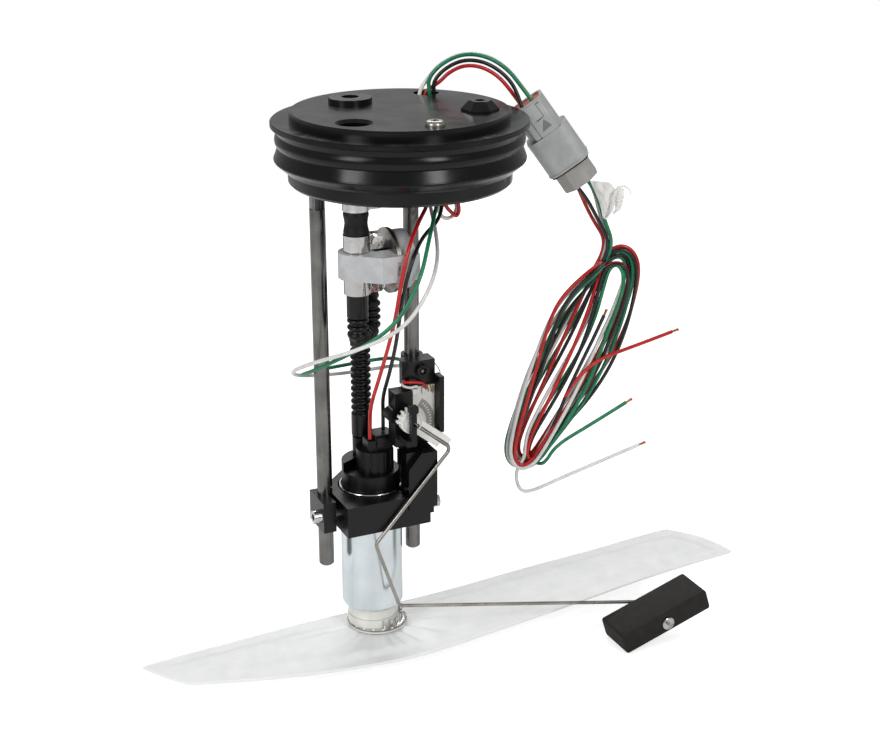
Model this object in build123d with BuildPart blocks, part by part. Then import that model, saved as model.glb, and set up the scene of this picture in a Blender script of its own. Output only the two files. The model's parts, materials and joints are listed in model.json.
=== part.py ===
from build123d import *
import math
import os

# Fuel pump module: a sealed flange that plugs a round tank neck, two guide rods,
# and on them the pump, its pressure regulator, the level sender and the strainer.
# X runs along the row of the two rods, Y towards the back, Z up.
# The origin is on the flange axis where the seal's cone ends, level with the tank top.
# All sizes are in millimetres.

os.makedirs("parts", exist_ok=True)

# Clearances between pieces
fit_gap = 0.05
body_gap = 0.3
bearing_gap = 0.03

# A cut longer than any piece that it goes through, and the two ways a cylinder can stand on its place
through_cut = 120.0
upward = (Align.CENTER, Align.CENTER, Align.MIN)
downward = (Align.CENTER, Align.CENTER, Align.MAX)

# Flange, whose plug goes down into the tank neck
lip_radius = 76.2
disc_radius = lip_radius - 11.2
disc_top = 34.2
lip_top = 28.7
lip_under = 25.2
plug_radius = lip_radius - 9.7
plug_bottom = -8.5
plug_wall = 6.0
lid_floor = 20.0
disc_chamfer = 1.0
lip_chamfer = 0.6

# Rubber seal round the plug
seal_seat_radius = plug_radius - 1.2
seal_bulge_radius = lip_radius - 2.4
seal_waist_radius = seal_bulge_radius - 1.3
seal_groove_radius = seal_bulge_radius - 1.7
seal_flare_radius = seal_bulge_radius + 0.8
seal_cone_radius = seal_bulge_radius - 4.2
seal_foot_radius = seal_bulge_radius - 5.6
seal_waist = 21.6
seal_bulge = 17.5
seal_groove = 13.4
seal_flare = 6.6
seal_cone = 1.4
plug_chamfer = 1.6

# Openings and fittings on the lid
port_x = -39.5
port_y = -26.5
port_thread_radius = 9.5
port_mouth_radius = 10.9
port_thread_length = 11.0
vent_x = -19.3
vent_y = 30.0
vent_radius = 13.1
vent_height = 3.4
vent_hole_radius = 5.1
cap_x = 40.0
cap_y = -24.5
cap_base_radius = 11.2
cap_top_radius = 6.6
cap_height = 6.0
cap_hole_radius = 3.9
wire_hole_x = 34.0
wire_hole_y = 38.4
wire_hole_radius = 7.8
lead_seal_height = 7.0
lid_screw_x = -1.4
lid_screw_y = 12.7 - disc_radius
lid_screw_head_radius = 5.7
lid_screw_head_height = 3.0
lid_screw_radius = 3.0
lid_nut_height = 4.0

# Guide rods
rod_radius = 4.76
rod_left_x = -52.7
rod_right_x = 6.9
rod_y = 1.2
rod_bottom = -251.5
rod_end_chamfer = 1.2
rod_socket_depth = 8.0
rod_boss_radius = 9.0
rod_flat_half = 3.9
rod_flat_top = 6.0
rod_flat_bottom = -20.5

# Outlet barb, hoses and their clamps
barb_radius = 4.3
barb_bore_radius = 3.0
barb_hex_width = 14.0
barb_hex_height = 6.0
hose_bore_radius = 4.35
hose_radius = 7.0
clamp_band = 0.8
clamp_width = 9.6
clamp_screw_radius = 2.0
clamp_screw_head_radius = 3.9
clamp_screw_offset = 11.6
clamp_screw_length = 12.0
upper_clamp_top = -6.4
lower_clamp_top = -30.3
bottom_clamp_top = -56.1

# Pressure regulator
reg_body_top = -40.4
reg_body_height = 15.4
reg_boss_radius = 10.9
reg_boss_tangent = 4.0
reg_bore_radius = 12.0
reg_block_front = -46.8
reg_block_back = -9.5
reg_block_corner = -31.6
reg_block_left = -24.5
reg_block_right = -21.2
reg_strap_right = -8.4
reg_slot_x = -21.3
reg_slot_width = 2.4
reg_slot_height = 8.0
reg_rim_radius = 19.3
reg_rim_width = 2.4
reg_cup_radius = 17.6
reg_cup_depth = 12.0
reg_nose_radius = 8.0
reg_nose_length = 8.0
reg_wall = 0.9

# Ribbed hose down to the pump: it loops once, behind itself
supply_crest_radius = 6.4
supply_low = -95.5
supply_high = -74.0
supply_mid_x = -25.0
supply_mid_y = -10.0
supply_bend = 10.4

# Pump
pump_x = -21.5
pump_y = 1.8
can_radius = 19.5
can_wall = 1.2
can_top = -204.4
can_length = 80.0
can_foot_round = 3.0
cap_spigot = 9.0
cap_shoulder = 13.6
turret_x = -20.0
turret_y = -1.2
turret_radius = 11.5
turret_height = 14.8
nipple_x = -23.0
nipple_y = 12.0
nipple_top = -158.0
hose_end = -171.5
plug_width = 16.8
plug_depth = 12.0
plug_height = 10.4
plug_x = -18.5
plug_y = -3.2
magnet_wall = 3.2
air_gap = 0.6
armature_length = can_length - 46.0
armature_slots = 8
shaft_radius = 2.0
commutator_radius = 6.2
commutator_length = 7.0
impeller_radius = 15.0
impeller_thickness = 3.6
impeller_vanes = 24
chamber_plate = 7.0
inlet_boss_radius = 5.4
inlet_shift = 7.5

# Strainer
collar_radius = 19.0
neck_radius = 16.2
neck_wall = 1.6
disc_thickness = 1.3
disc_shift_x = 2.4
disc_shift_y = -1.1
collar_top = can_top - can_length - 7.1
collar_bottom = collar_top - 8.0
mat_top = collar_bottom - 0.7
mat_bottom = mat_top - 6.4
mat_length = 404.0
mat_turn = 2.7
mat_left_x = -160.0
mat_left_y = -5.0
mat_left_half = 18.5
mat_mid_half = 36.5
mat_right_half = 25.0
mat_rim_width = 9.0
mat_rim_thickness = 1.6

# Bracket that carries the pump on the rods
bracket_top = -202.2
bracket_bottom = -222.0
bracket_front = -27.8
bracket_back = 30.5
bracket_left = -49.0
bracket_right = 6.5
bracket_corner = 20.0
isolator_wall = 1.5
ear_left = -60.0
ear_right = 14.5
ear_front = -15.3
ear_back = 9.0
slot_width = 2.7
clamp_bolt_radius = 2.5
clamp_bolt_head_radius = 4.25
clamp_bolt_head_height = 5.0
clamp_bolt_y = -10.1
clamp_bolt_length = 15.0

# Tower that stands in the bracket's corner and backs the sender
tower_left = -8.4
tower_right = 10.8
tower_front = -28.6
tower_seat = -210.8
tower_top = -174.0
tower_step = -185.0
tower_slab_back = -12.5
tower_back = 9.0
tower_bore_gap = 1.4

# Level sender
block_left = -4.8
block_right = 15.8
block_step = -3.0
block_ring_radius = 6.9
block_front = -14.0
block_back = rod_y + block_ring_radius
block_top = -118.8
block_bottom = -134.2
block_chamfer = 3.3
set_screw_radius = 3.0
set_screw_head_radius = 4.2
frame_back = -11.4
frame_plate = 2.6
frame_left = -14.5
frame_right = 18.5
frame_bottom = -173.7
frame_wall_front = -22.0
rail_width = 3.3
rail_bottom = -165.0
post_front = -37.0
post_back = -33.6
post_left = -10.2
post_right = -6.6
post_top = -138.5
post_bottom = -161.0
post_foot = 6.4
card_thickness = 1.0
card_left = -1.2
card_right = 15.0
card_bottom = -163.5
card_top = -135.2
pivot_x = -7.7
pivot_z = -150.5
hub_radius = 7.2
hub_back = -27.6
hub_front = -32.2
pivot_boss_radius = 3.3
arm_width = 9.0
arm_reach = 25.0
contact_width = 3.0
tab_length = 5.5
tab_width = 6.0
lug_radius = 4.6
lug_z = -149.1

# Float arm, a bent steel wire in the plane y = arm_plane, and the float on its end
arm_radius = 1.15
arm_plane = -30.4
elbow_x = 19.4
elbow_z = -172.5
knee_x = -32.0
knee_z = -228.4
ankle_x = -16.4
ankle_z = -274.5
float_x = 154.5
float_y = -62.0
float_z = -303.5
float_length = 66.0
float_width = 29.0
float_height = 14.6
float_tilt = 17.7
float_swivel_gap = 0.1
wire_bend = 4.0
retainer_radius = 4.3
retainer_thickness = 0.9

# Four-way connector beside the flange, its axis leaning in the plane of the harness
harness_turn = -24.76
plug_axis_x = 115.6
plug_axis_y = 3.0
plug_axis_z = -10.5
plug_lean = 35.6
upper_half = 11.2
upper_length = 47.5
shroud_half = 14.2
shroud_length = 25.5
tail_half = 11.8
tail_length = 14.0
shroud_wall = 1.8
mouth_depth = 6.0

# Leads
lead_diameter = 2.4
hank_thickness = 12.0
hank_top_place = (138.2, -7.5, -66.0)
hank_foot_place = (88.5, 15.4, -215.5)


def put(piece, name):
    """Label a piece and write it under its own name."""
    piece.part.label = name
    export_step(piece.part, f"parts/{name}.step")


def bend_radii(points):
    """Radius of each corner of a route, as large as its two runs allow."""
    route = [Vector(*p) for p in points]
    radii = []
    for a, b, c in zip(route, route[1:], route[2:]):
        turn = math.radians((b - a).get_angle(c - b))
        shorter = min((b - a).length, (c - b).length)
        radii.append(0.45 * shorter / math.tan(turn / 2))
    return radii


def run_path(points):
    """Straight runs joined by tangent arcs."""
    return FilletPolyline(*points, radius=bend_radii(points))


def lead_tube(points, radius, name):
    """A round lead swept along its route."""
    with BuildPart() as tube:
        with BuildLine() as path:
            run_path(points)
        with BuildSketch(Plane(origin=path.line @ 0, z_dir=path.line % 0)):
            Circle(radius)
        sweep()
    length = path.wires()[0].length
    share = tube.part.volume / (math.pi * radius**2 * length)
    tightest = min(bend_radii(points))
    print(f"{name}: {length:.0f} mm, tightest bend {tightest:.1f} mm, volume share {share:.3f}")
    return tube


# Flange: raised disc, lip and hollow plug in one turned piece
with BuildPart() as lid_plate:
    with BuildSketch(Plane.XZ) as lid_profile:
        with BuildLine():
            Polyline(
                (0, lid_floor),
                (plug_radius - plug_wall, lid_floor),
                (plug_radius - plug_wall, plug_bottom),
                (plug_radius - plug_chamfer, plug_bottom),
                (plug_radius, plug_bottom + plug_chamfer),
                (plug_radius, 0),
                (seal_seat_radius, 0),
                (seal_seat_radius, lip_under),
                (lip_radius - lip_chamfer, lip_under),
                (lip_radius, lip_under + lip_chamfer),
                (lip_radius, lip_top - lip_chamfer),
                (lip_radius - lip_chamfer, lip_top),
                (disc_radius, lip_top),
                (disc_radius, disc_top - disc_chamfer),
                (disc_radius - disc_chamfer, disc_top),
                (0, disc_top),
                (0, lid_floor),
            )
        make_face()
    revolve(axis=Axis.Z)
    with BuildSketch(Plane.XY.offset(lid_floor - rod_socket_depth)):
        with Locations((rod_left_x, rod_y), (rod_right_x, rod_y)):
            Circle(rod_boss_radius)
    extrude(amount=rod_socket_depth)
    socket_bottom = lid_floor - rod_socket_depth
    with Locations((rod_left_x, rod_y, socket_bottom), (rod_right_x, rod_y, socket_bottom)):
        Cylinder(rod_radius, 2 * rod_socket_depth, align=upward, mode=Mode.SUBTRACT)
    with Locations((port_x, port_y, disc_top)):
        Cylinder(port_thread_radius, port_thread_length, align=downward, mode=Mode.SUBTRACT)
        Cone(port_thread_radius, port_mouth_radius, 2.0, align=downward, mode=Mode.SUBTRACT)
        Cylinder(barb_bore_radius + 1.5, disc_top - lid_floor, align=downward, mode=Mode.SUBTRACT)
    with Locations((vent_x, vent_y, disc_top)):
        Cylinder(vent_hole_radius, disc_top - lid_floor, align=downward, mode=Mode.SUBTRACT)
    with Locations((cap_x, cap_y, disc_top)):
        Cylinder(cap_hole_radius, disc_top - lid_floor, align=downward, mode=Mode.SUBTRACT)
    with Locations((wire_hole_x, wire_hole_y, disc_top)):
        Cylinder(wire_hole_radius, disc_top - lid_floor, align=downward, mode=Mode.SUBTRACT)
    with Locations((lid_screw_x, lid_screw_y, disc_top)):
        Cylinder(lid_screw_radius + fit_gap, disc_top - lid_floor, align=downward, mode=Mode.SUBTRACT)
put(lid_plate, "lid_plate")

# Seal: a low bulge between two shallow waists, over a flare and a cone that centre in the neck
with BuildPart() as tank_seal:
    with BuildSketch(Plane.XZ):
        with BuildLine():
            Polyline(
                (seal_seat_radius, 0),
                (seal_foot_radius, 0),
                (seal_cone_radius, seal_cone),
                (seal_flare_radius - 0.8, seal_flare - 1.6),
            )
            ThreePointArc(
                (seal_flare_radius - 0.8, seal_flare - 1.6),
                (seal_flare_radius, seal_flare - 0.6),
                (seal_flare_radius - 0.3, seal_flare + 0.6),
            )
            Line((seal_flare_radius - 0.3, seal_flare + 0.6), (seal_groove_radius, seal_groove))
            ThreePointArc(
                (seal_groove_radius, seal_groove),
                (seal_bulge_radius, seal_bulge),
                (seal_waist_radius, seal_waist),
            )
            Polyline(
                (seal_waist_radius, seal_waist),
                (seal_bulge_radius, lip_under),
                (seal_seat_radius, lip_under),
                (seal_seat_radius, 0),
            )
        make_face()
    revolve(axis=Axis.Z)
put(tank_seal, "tank_seal")

# Vent boss: a low round fitting with a plain hole, on a spigot in the lid
with BuildPart() as vent_boss:
    with Locations((vent_x, vent_y, disc_top)):
        Cylinder(vent_radius, vent_height, align=upward)
    fillet(vent_boss.edges().filter_by(GeomType.CIRCLE).group_by(Axis.Z)[-1], 0.5)
    with Locations((vent_x, vent_y, disc_top - 8)):
        Cylinder(vent_hole_radius, 8, align=upward)
    with Locations((vent_x, vent_y, disc_top - 8)):
        Cylinder(vent_hole_radius - 1.0, through_cut, align=upward, mode=Mode.SUBTRACT)
    with Locations((vent_x, vent_y, disc_top + vent_height)):
        Cylinder(vent_hole_radius, vent_height - 0.8, align=downward, mode=Mode.SUBTRACT)
put(vent_boss, "vent_boss")

# Roll-over valve cap: a hexagonal cone with a hole, pressed into the lid
with BuildPart() as valve_cap:
    with BuildSketch(Plane.XY.offset(disc_top)):
        with Locations((cap_x, cap_y)):
            RegularPolygon(cap_base_radius, 6, rotation=harness_turn)
    extrude(amount=1.2)
    with BuildSketch(Plane.XY.offset(disc_top + 1.2)):
        with Locations((cap_x, cap_y)):
            RegularPolygon(cap_base_radius, 6, rotation=harness_turn)
    with BuildSketch(Plane.XY.offset(disc_top + cap_height)):
        with Locations((cap_x, cap_y)):
            RegularPolygon(cap_top_radius, 6, rotation=harness_turn)
    loft()
    with Locations((cap_x, cap_y, disc_top - 10)):
        Cylinder(cap_hole_radius, 10, align=upward)
    with Locations((cap_x, cap_y, disc_top - 4)):
        Cylinder(cap_hole_radius - 0.9, through_cut, align=upward, mode=Mode.SUBTRACT)
put(valve_cap, "valve_cap")

# Button-head screw through the lid, with its nut below
with BuildPart() as lid_screw:
    with Locations((lid_screw_x, lid_screw_y, disc_top)):
        Cylinder(lid_screw_head_radius, lid_screw_head_height, align=upward)
    fillet(lid_screw.edges().filter_by(GeomType.CIRCLE).group_by(Axis.Z)[-1], 2.2)
    with Locations((lid_screw_x, lid_screw_y, disc_top)):
        Cylinder(lid_screw_radius, disc_top - lid_floor + lid_nut_height + 1.5, align=downward)
    with BuildSketch(Plane.XY.offset(disc_top + lid_screw_head_height)):
        with Locations((lid_screw_x, lid_screw_y)):
            RegularPolygon(2.3, 6)
    extrude(amount=-1.8, mode=Mode.SUBTRACT)
put(lid_screw, "lid_screw")

with BuildPart() as lid_nut:
    with BuildSketch(Plane.XY.offset(lid_floor)):
        with Locations((lid_screw_x, lid_screw_y)):
            RegularPolygon(5.5, 6)
            Circle(lid_screw_radius + fit_gap, mode=Mode.SUBTRACT)
    extrude(amount=-lid_nut_height)
put(lid_nut, "lid_nut")

# Potted seal that the four leads pass through
lead_places = {
    "white": (wire_hole_x - 4.6, wire_hole_y + 1.8),
    "red": (wire_hole_x - 1.4, wire_hole_y + 1.8),
    "green": (wire_hole_x + 1.7, wire_hole_y - 1.8),
    "black": (wire_hole_x + 4.7, wire_hole_y - 1.8),
}
with BuildPart() as lead_seal:
    with Locations((wire_hole_x, wire_hole_y, lid_floor)):
        Cylinder(wire_hole_radius, lead_seal_height, align=upward)
    for place in lead_places.values():
        with Locations((place[0], place[1], lid_floor)):
            Cylinder(lead_diameter / 2 + fit_gap, through_cut, align=upward, mode=Mode.SUBTRACT)
put(lead_seal, "lead_seal")

# Outlet barb screwed up into the lid below the port
with BuildPart() as outlet_barb:
    with BuildSketch(Plane.XY.offset(lid_floor)):
        with Locations((port_x, port_y)):
            RegularPolygon(barb_hex_width / 2, 6, major_radius=False)
    extrude(amount=-barb_hex_height)
    with BuildSketch(Plane.XY.offset(lid_floor)):
        with Locations((port_x, port_y)):
            Circle(barb_bore_radius + 1.5 - fit_gap)
    extrude(amount=disc_top - lid_floor - port_thread_length)
    with Locations((port_x, port_y, lid_floor - barb_hex_height)):
        Cylinder(barb_radius, lid_floor - barb_hex_height - upper_clamp_top + clamp_width + 1.0,
                 align=downward)
        Cylinder(barb_bore_radius, through_cut, mode=Mode.SUBTRACT)
put(outlet_barb, "outlet_barb")


def guide_rod(x, flats):
    """Turned rod, seated in its boss under the lid, the left one with spanner flats near its top."""
    with BuildPart() as rod:
        with Locations((x, rod_y, rod_bottom)):
            Cylinder(rod_radius, lid_floor - rod_bottom, align=upward)
        chamfer(rod.edges().filter_by(GeomType.CIRCLE).group_by(Axis.Z)[0], rod_end_chamfer)
        if flats:
            flat_length = rod_flat_top - rod_flat_bottom
            flat_middle = (rod_flat_top + rod_flat_bottom) / 2
            out = rod_flat_half + rod_radius
            for side in (-1, 1):
                with Locations((x + side * out, rod_y, flat_middle)):
                    Box(2 * rod_radius, 3 * rod_radius, flat_length, mode=Mode.SUBTRACT)
                with Locations((x, rod_y + side * out, flat_middle)):
                    Box(3 * rod_radius, 2 * rod_radius, flat_length, mode=Mode.SUBTRACT)
    return rod


put(guide_rod(rod_left_x, True), "rod_left")
put(guide_rod(rod_right_x, False), "rod_right")

# Short plain hose between the outlet barb and the regulator's upper barb
upper_hose_top = upper_clamp_top + 1.6
with BuildPart() as upper_hose:
    with BuildSketch(Plane.XY.offset(reg_body_top + body_gap)):
        with Locations((port_x, port_y)):
            Circle(hose_radius)
            Circle(hose_bore_radius, mode=Mode.SUBTRACT)
    extrude(amount=upper_hose_top - reg_body_top - body_gap)
put(upper_hose, "upper_hose")

# Clamps: a band with two ears that a cross-head screw pulls together
clamp_tops = (upper_clamp_top, lower_clamp_top, bottom_clamp_top)
band_outside = hose_radius + fit_gap + clamp_band
with BuildPart() as clamp_bands:
    for top in clamp_tops:
        with BuildSketch(Plane.XY.offset(top - clamp_width)):
            with Locations((port_x, port_y)):
                Circle(band_outside)
                with Locations((clamp_screw_offset / 2 + 1.5, 0)):
                    Rectangle(clamp_screw_offset + 2.4, 5.6)
                Circle(hose_radius + fit_gap, mode=Mode.SUBTRACT)
                with Locations((clamp_screw_offset, 0)):
                    Rectangle(2 * clamp_screw_offset, 4.0, mode=Mode.SUBTRACT)
        extrude(amount=clamp_width)
    for top in clamp_tops:
        hole = Plane((port_x + clamp_screw_offset, port_y, top - clamp_width / 2), z_dir=(0, -1, 0))
        with Locations(hole):
            Cylinder(clamp_screw_radius + fit_gap, clamp_screw_length, mode=Mode.SUBTRACT)
put(clamp_bands, "clamp_bands")

with BuildPart() as clamp_screws:
    for top in clamp_tops:
        seat = Plane((port_x + clamp_screw_offset, port_y - 2.8, top - clamp_width / 2), z_dir=(0, -1, 0))
        with Locations(seat):
            Cylinder(clamp_screw_head_radius, 2.6, align=upward)
            Cylinder(clamp_screw_radius, clamp_screw_length, align=downward)
            with Locations((0, 0, 2.6)):
                Box(4.4, 0.9, 1.6, align=downward, mode=Mode.SUBTRACT)
                Box(0.9, 4.4, 1.6, align=downward, mode=Mode.SUBTRACT)
put(clamp_screws, "clamp_screws")

# Regulator body: a boss on the hose line with barbs up and down, and a block with a cross bore
reg_mid = reg_body_top - reg_body_height / 2
with BuildPart() as regulator_body:
    with BuildSketch(Plane.XY.offset(reg_body_top - reg_body_height)):
        with Locations((port_x, port_y)):
            Circle(reg_boss_radius)
        with BuildLine():
            Polyline(
                (port_x - reg_boss_tangent, port_y - reg_boss_radius + 0.8),
                (reg_block_corner, reg_block_front),
                (reg_strap_right, reg_block_front),
                (reg_strap_right, port_y - reg_nose_radius),
                (reg_block_right, port_y - reg_nose_radius),
                (reg_block_right, reg_block_back),
                (reg_block_left, reg_block_back),
                (port_x, port_y + reg_boss_radius),
                (port_x - reg_boss_tangent, port_y - reg_boss_radius + 0.8),
            )
        make_face()
    extrude(amount=reg_body_height)
    with Locations(Plane((reg_block_right, port_y, reg_mid), z_dir=(1, 0, 0))):
        Cylinder(reg_rim_radius + fit_gap, reg_rim_width + fit_gap,
                 align=upward, mode=Mode.SUBTRACT)
        Cylinder(reg_cup_radius + fit_gap, reg_strap_right - reg_block_right + 1.0,
                 align=upward, mode=Mode.SUBTRACT)
    with Locations((reg_slot_x, reg_block_front, reg_mid)):
        Box(reg_slot_width, 2.0, reg_slot_height, mode=Mode.SUBTRACT)
    with Locations((port_x, port_y, lower_clamp_top + 1.0)):
        Cylinder(barb_radius, lower_clamp_top - bottom_clamp_top + clamp_width + 2.0,
                 align=downward)
        Cylinder(barb_bore_radius, through_cut, mode=Mode.SUBTRACT)
    with Locations(Plane((reg_block_right, port_y, reg_mid), z_dir=(-1, 0, 0))):
        Cylinder(reg_nose_radius + 1.2, reg_nose_length + 1.0, align=upward, mode=Mode.SUBTRACT)
put(regulator_body, "regulator_body")

# Regulator capsule: a stamped rim, a cup over the spring, and a nose with its filter end in the block
with BuildPart() as regulator_capsule:
    with BuildSketch(Plane.XZ.offset(-port_y)) as capsule_profile:
        with BuildLine():
            Polyline(
                (reg_block_right - reg_nose_length, reg_mid),
                (reg_block_right - reg_nose_length, reg_mid + reg_nose_radius),
                (reg_block_right, reg_mid + reg_nose_radius),
                (reg_block_right, reg_mid + reg_rim_radius),
                (reg_block_right + reg_rim_width, reg_mid + reg_rim_radius),
                (reg_block_right + reg_rim_width, reg_mid + reg_cup_radius - reg_wall),
                (reg_block_right + reg_wall, reg_mid + reg_cup_radius - reg_wall),
                (reg_block_right + reg_wall, reg_mid + reg_nose_radius - reg_wall),
                (reg_block_right - reg_nose_length + reg_wall, reg_mid + reg_nose_radius - reg_wall),
                (reg_block_right - reg_nose_length + reg_wall, reg_mid),
                (reg_block_right - reg_nose_length, reg_mid),
            )
        make_face()
    revolve(axis=Axis((0, port_y, reg_mid), (1, 0, 0)))
put(regulator_capsule, "regulator_capsule")

cup_start = reg_block_right + reg_rim_width
cup_end = cup_start + reg_cup_depth
with BuildPart() as regulator_cup:
    with BuildSketch(Plane.XZ.offset(-port_y)):
        with BuildLine():
            Polyline(
                (cup_end, reg_mid),
                (cup_end, reg_mid + reg_cup_radius - 5),
                (cup_end - 3, reg_mid + reg_cup_radius),
                (cup_start, reg_mid + reg_cup_radius),
                (cup_start, reg_mid + reg_cup_radius - reg_wall),
                (cup_end - 3.4, reg_mid + reg_cup_radius - reg_wall),
                (cup_end - reg_wall, reg_mid + reg_cup_radius - 5.2),
                (cup_end - reg_wall, reg_mid),
                (cup_end, reg_mid),
            )
        make_face()
    revolve(axis=Axis((0, port_y, reg_mid), (1, 0, 0)))
put(regulator_cup, "regulator_cup")

# Diaphragm with its spring inside the capsule, in one stack
with BuildPart() as regulator_diaphragm:
    with Locations(Plane((reg_block_right + reg_rim_width, port_y, reg_mid), z_dir=(1, 0, 0))):
        Cylinder(reg_cup_radius - reg_wall - fit_gap, 1.0, align=downward)
        Cylinder(6.0, reg_cup_depth - reg_wall - fit_gap, align=upward)
        Cylinder(4.4, reg_cup_depth, align=upward, mode=Mode.SUBTRACT)
put(regulator_diaphragm, "regulator_diaphragm")

# Ribbed supply hose: down from the regulator, once back up behind, then down to the pump
supply_top = reg_body_top - reg_body_height - body_gap
supply_route = [
    (port_x, port_y, supply_top),
    (port_x, port_y, supply_low),
    (supply_mid_x, supply_mid_y, supply_low),
    (supply_mid_x, supply_mid_y, supply_high),
    (nipple_x, nipple_y, supply_high),
    (nipple_x, nipple_y, hose_end),
]
with BuildPart() as supply_hose:
    with BuildLine() as supply_path:
        FilletPolyline(*supply_route, radius=4 * [supply_bend])
    with BuildSketch(Plane(origin=supply_path.line @ 0, z_dir=supply_path.line % 0)):
        Circle(supply_crest_radius)
        Circle(hose_bore_radius, mode=Mode.SUBTRACT)
    sweep()
print(f"supply_hose: {supply_path.wires()[0].length:.0f} mm, bends {supply_bend} mm")
put(supply_hose, "supply_hose")

# Pump can: drawn steel tube rolled in at its foot
can_bottom = can_top - can_length
can_inside = can_radius - can_wall
with BuildPart() as pump_can:
    with Locations((pump_x, pump_y, can_bottom)):
        Cylinder(can_radius, can_length, align=upward)
    fillet(pump_can.edges().filter_by(GeomType.CIRCLE).group_by(Axis.Z)[0], can_foot_round)
    with Locations((pump_x, pump_y, can_bottom + can_wall)):
        Cylinder(can_inside, can_length, align=upward, mode=Mode.SUBTRACT)
    with Locations((pump_x, pump_y, can_bottom)):
        Cylinder(can_inside - 2.2, 3 * can_wall, mode=Mode.SUBTRACT)
put(pump_can, "pump_can")

# Pump head: spigot in the can, shoulder, connector turret and outlet nipple
cap_radius = can_inside - fit_gap
shoulder_top = can_top + cap_shoulder
turret_top = shoulder_top + turret_height
with BuildPart() as pump_cap:
    with Locations((pump_x, pump_y, can_top - cap_spigot)):
        Cylinder(cap_radius, cap_spigot + cap_shoulder, align=upward)
    chamfer(pump_cap.edges().filter_by(GeomType.CIRCLE).group_by(Axis.Z)[-1], 0.6)
    with Locations((turret_x, turret_y, shoulder_top)):
        Cylinder(turret_radius, turret_height, align=upward)
    with BuildSketch(Plane.XY.offset(shoulder_top - 1.0)):
        with Locations((pump_x, pump_y)):
            Circle(cap_radius)
            with Locations((cap_radius * 0.9, -cap_radius * 0.45)):
                Rectangle(3.4 * cap_radius, 2.6 * cap_radius, mode=Mode.SUBTRACT, rotation=28)
    extrude(amount=6.5)
    with Locations((nipple_x, nipple_y, shoulder_top - 1.0)):
        Cylinder(hose_radius - 1.0, hose_end - 1.5 - shoulder_top + 1.0, align=upward)
        Cylinder(barb_radius, nipple_top - shoulder_top + 1.0, align=upward)
    with Locations((nipple_x, nipple_y, can_top - cap_spigot)):
        Cylinder(barb_bore_radius, through_cut, align=upward, mode=Mode.SUBTRACT)
    with Locations((pump_x, pump_y, can_top - cap_spigot)):
        Cylinder(shaft_radius + bearing_gap + 2.0, 5.0, align=upward, mode=Mode.SUBTRACT)
put(pump_cap, "pump_cap")

# Bush for the upper end of the shaft
with BuildPart() as shaft_bush:
    with Locations((pump_x, pump_y, can_top - cap_spigot)):
        Cylinder(shaft_radius + bearing_gap + 2.0, 4.0, align=upward)
        Cylinder(shaft_radius + bearing_gap, through_cut, mode=Mode.SUBTRACT)
put(shaft_bush, "shaft_bush")

# Stack inside the can, from the bottom: inlet plate, impeller, chamber plate, armature
inlet_top = can_bottom + can_wall + chamber_plate
impeller_top = inlet_top + impeller_thickness + 2 * body_gap
chamber_top = impeller_top + chamber_plate
inner_radius = can_inside - fit_gap
with BuildPart() as inlet_plate:
    with Locations((pump_x, pump_y, can_bottom + can_wall)):
        Cylinder(inner_radius, chamber_plate, align=upward)
    with Locations((pump_x, pump_y, can_bottom + can_wall)):
        Cylinder(can_inside - 2.4, can_bottom + can_wall - collar_top, align=downward)
    with Locations((pump_x + inlet_shift, pump_y, collar_top)):
        Cylinder(inlet_boss_radius, collar_top - collar_bottom - 0.5, align=downward)
    with Locations((pump_x + inlet_shift, pump_y, inlet_top)):
        Cylinder(inlet_boss_radius - 1.4, through_cut, mode=Mode.SUBTRACT)
    with Locations((pump_x, pump_y, inlet_top)):
        Cylinder(shaft_radius + bearing_gap, 2 * 4.0, mode=Mode.SUBTRACT)
put(inlet_plate, "inlet_plate")

with BuildPart() as chamber_ring:
    with Locations((pump_x, pump_y, inlet_top)):
        Cylinder(inner_radius, impeller_top - inlet_top + chamber_plate, align=upward)
        Cylinder(impeller_radius + body_gap, impeller_top - inlet_top, align=upward, mode=Mode.SUBTRACT)
        Cylinder(shaft_radius + bearing_gap, through_cut, mode=Mode.SUBTRACT)
    with Locations((pump_x - inlet_shift - 1.0, pump_y, inlet_top)):
        Cylinder(2.6, through_cut, mode=Mode.SUBTRACT)
put(chamber_ring, "chamber_ring")

with BuildPart() as impeller:
    with Locations((pump_x, pump_y, inlet_top + body_gap)):
        Cylinder(impeller_radius, impeller_thickness, align=upward)
        Cylinder(shaft_radius, 4 * impeller_thickness, mode=Mode.SUBTRACT)
    with Locations(Location((pump_x, pump_y, inlet_top + body_gap + impeller_thickness / 2))):
        with PolarLocations(impeller_radius - 0.6, impeller_vanes):
            Box(3.4, 1.9, 2 * impeller_thickness, mode=Mode.SUBTRACT)
put(impeller, "impeller")

# Armature with its slots, commutator and shaft, which turn together with the impeller
armature_radius = can_inside - magnet_wall - air_gap
armature_bottom = chamber_top + 4.0
armature_top = armature_bottom + armature_length
with BuildPart() as armature:
    with Locations((pump_x, pump_y, armature_bottom)):
        Cylinder(armature_radius, armature_length, align=upward)
        Cylinder(shaft_radius, 4 * armature_length, mode=Mode.SUBTRACT)
    with Locations(Location((pump_x, pump_y, armature_bottom + armature_length / 2))):
        with PolarLocations(armature_radius - 1.5, armature_slots):
            Box(6.0, 1.6, 2 * armature_length, mode=Mode.SUBTRACT)
put(armature, "armature")

with BuildPart() as commutator:
    with Locations((pump_x, pump_y, armature_top)):
        Cylinder(commutator_radius, commutator_length, align=upward)
        Cylinder(shaft_radius, 4 * commutator_length, mode=Mode.SUBTRACT)
put(commutator, "commutator")

with BuildPart() as pump_shaft:
    with Locations((pump_x, pump_y, inlet_top - 3.5)):
        Cylinder(shaft_radius, can_top - cap_spigot + 3.5 - (inlet_top - 3.5), align=upward)
put(pump_shaft, "pump_shaft")

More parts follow.
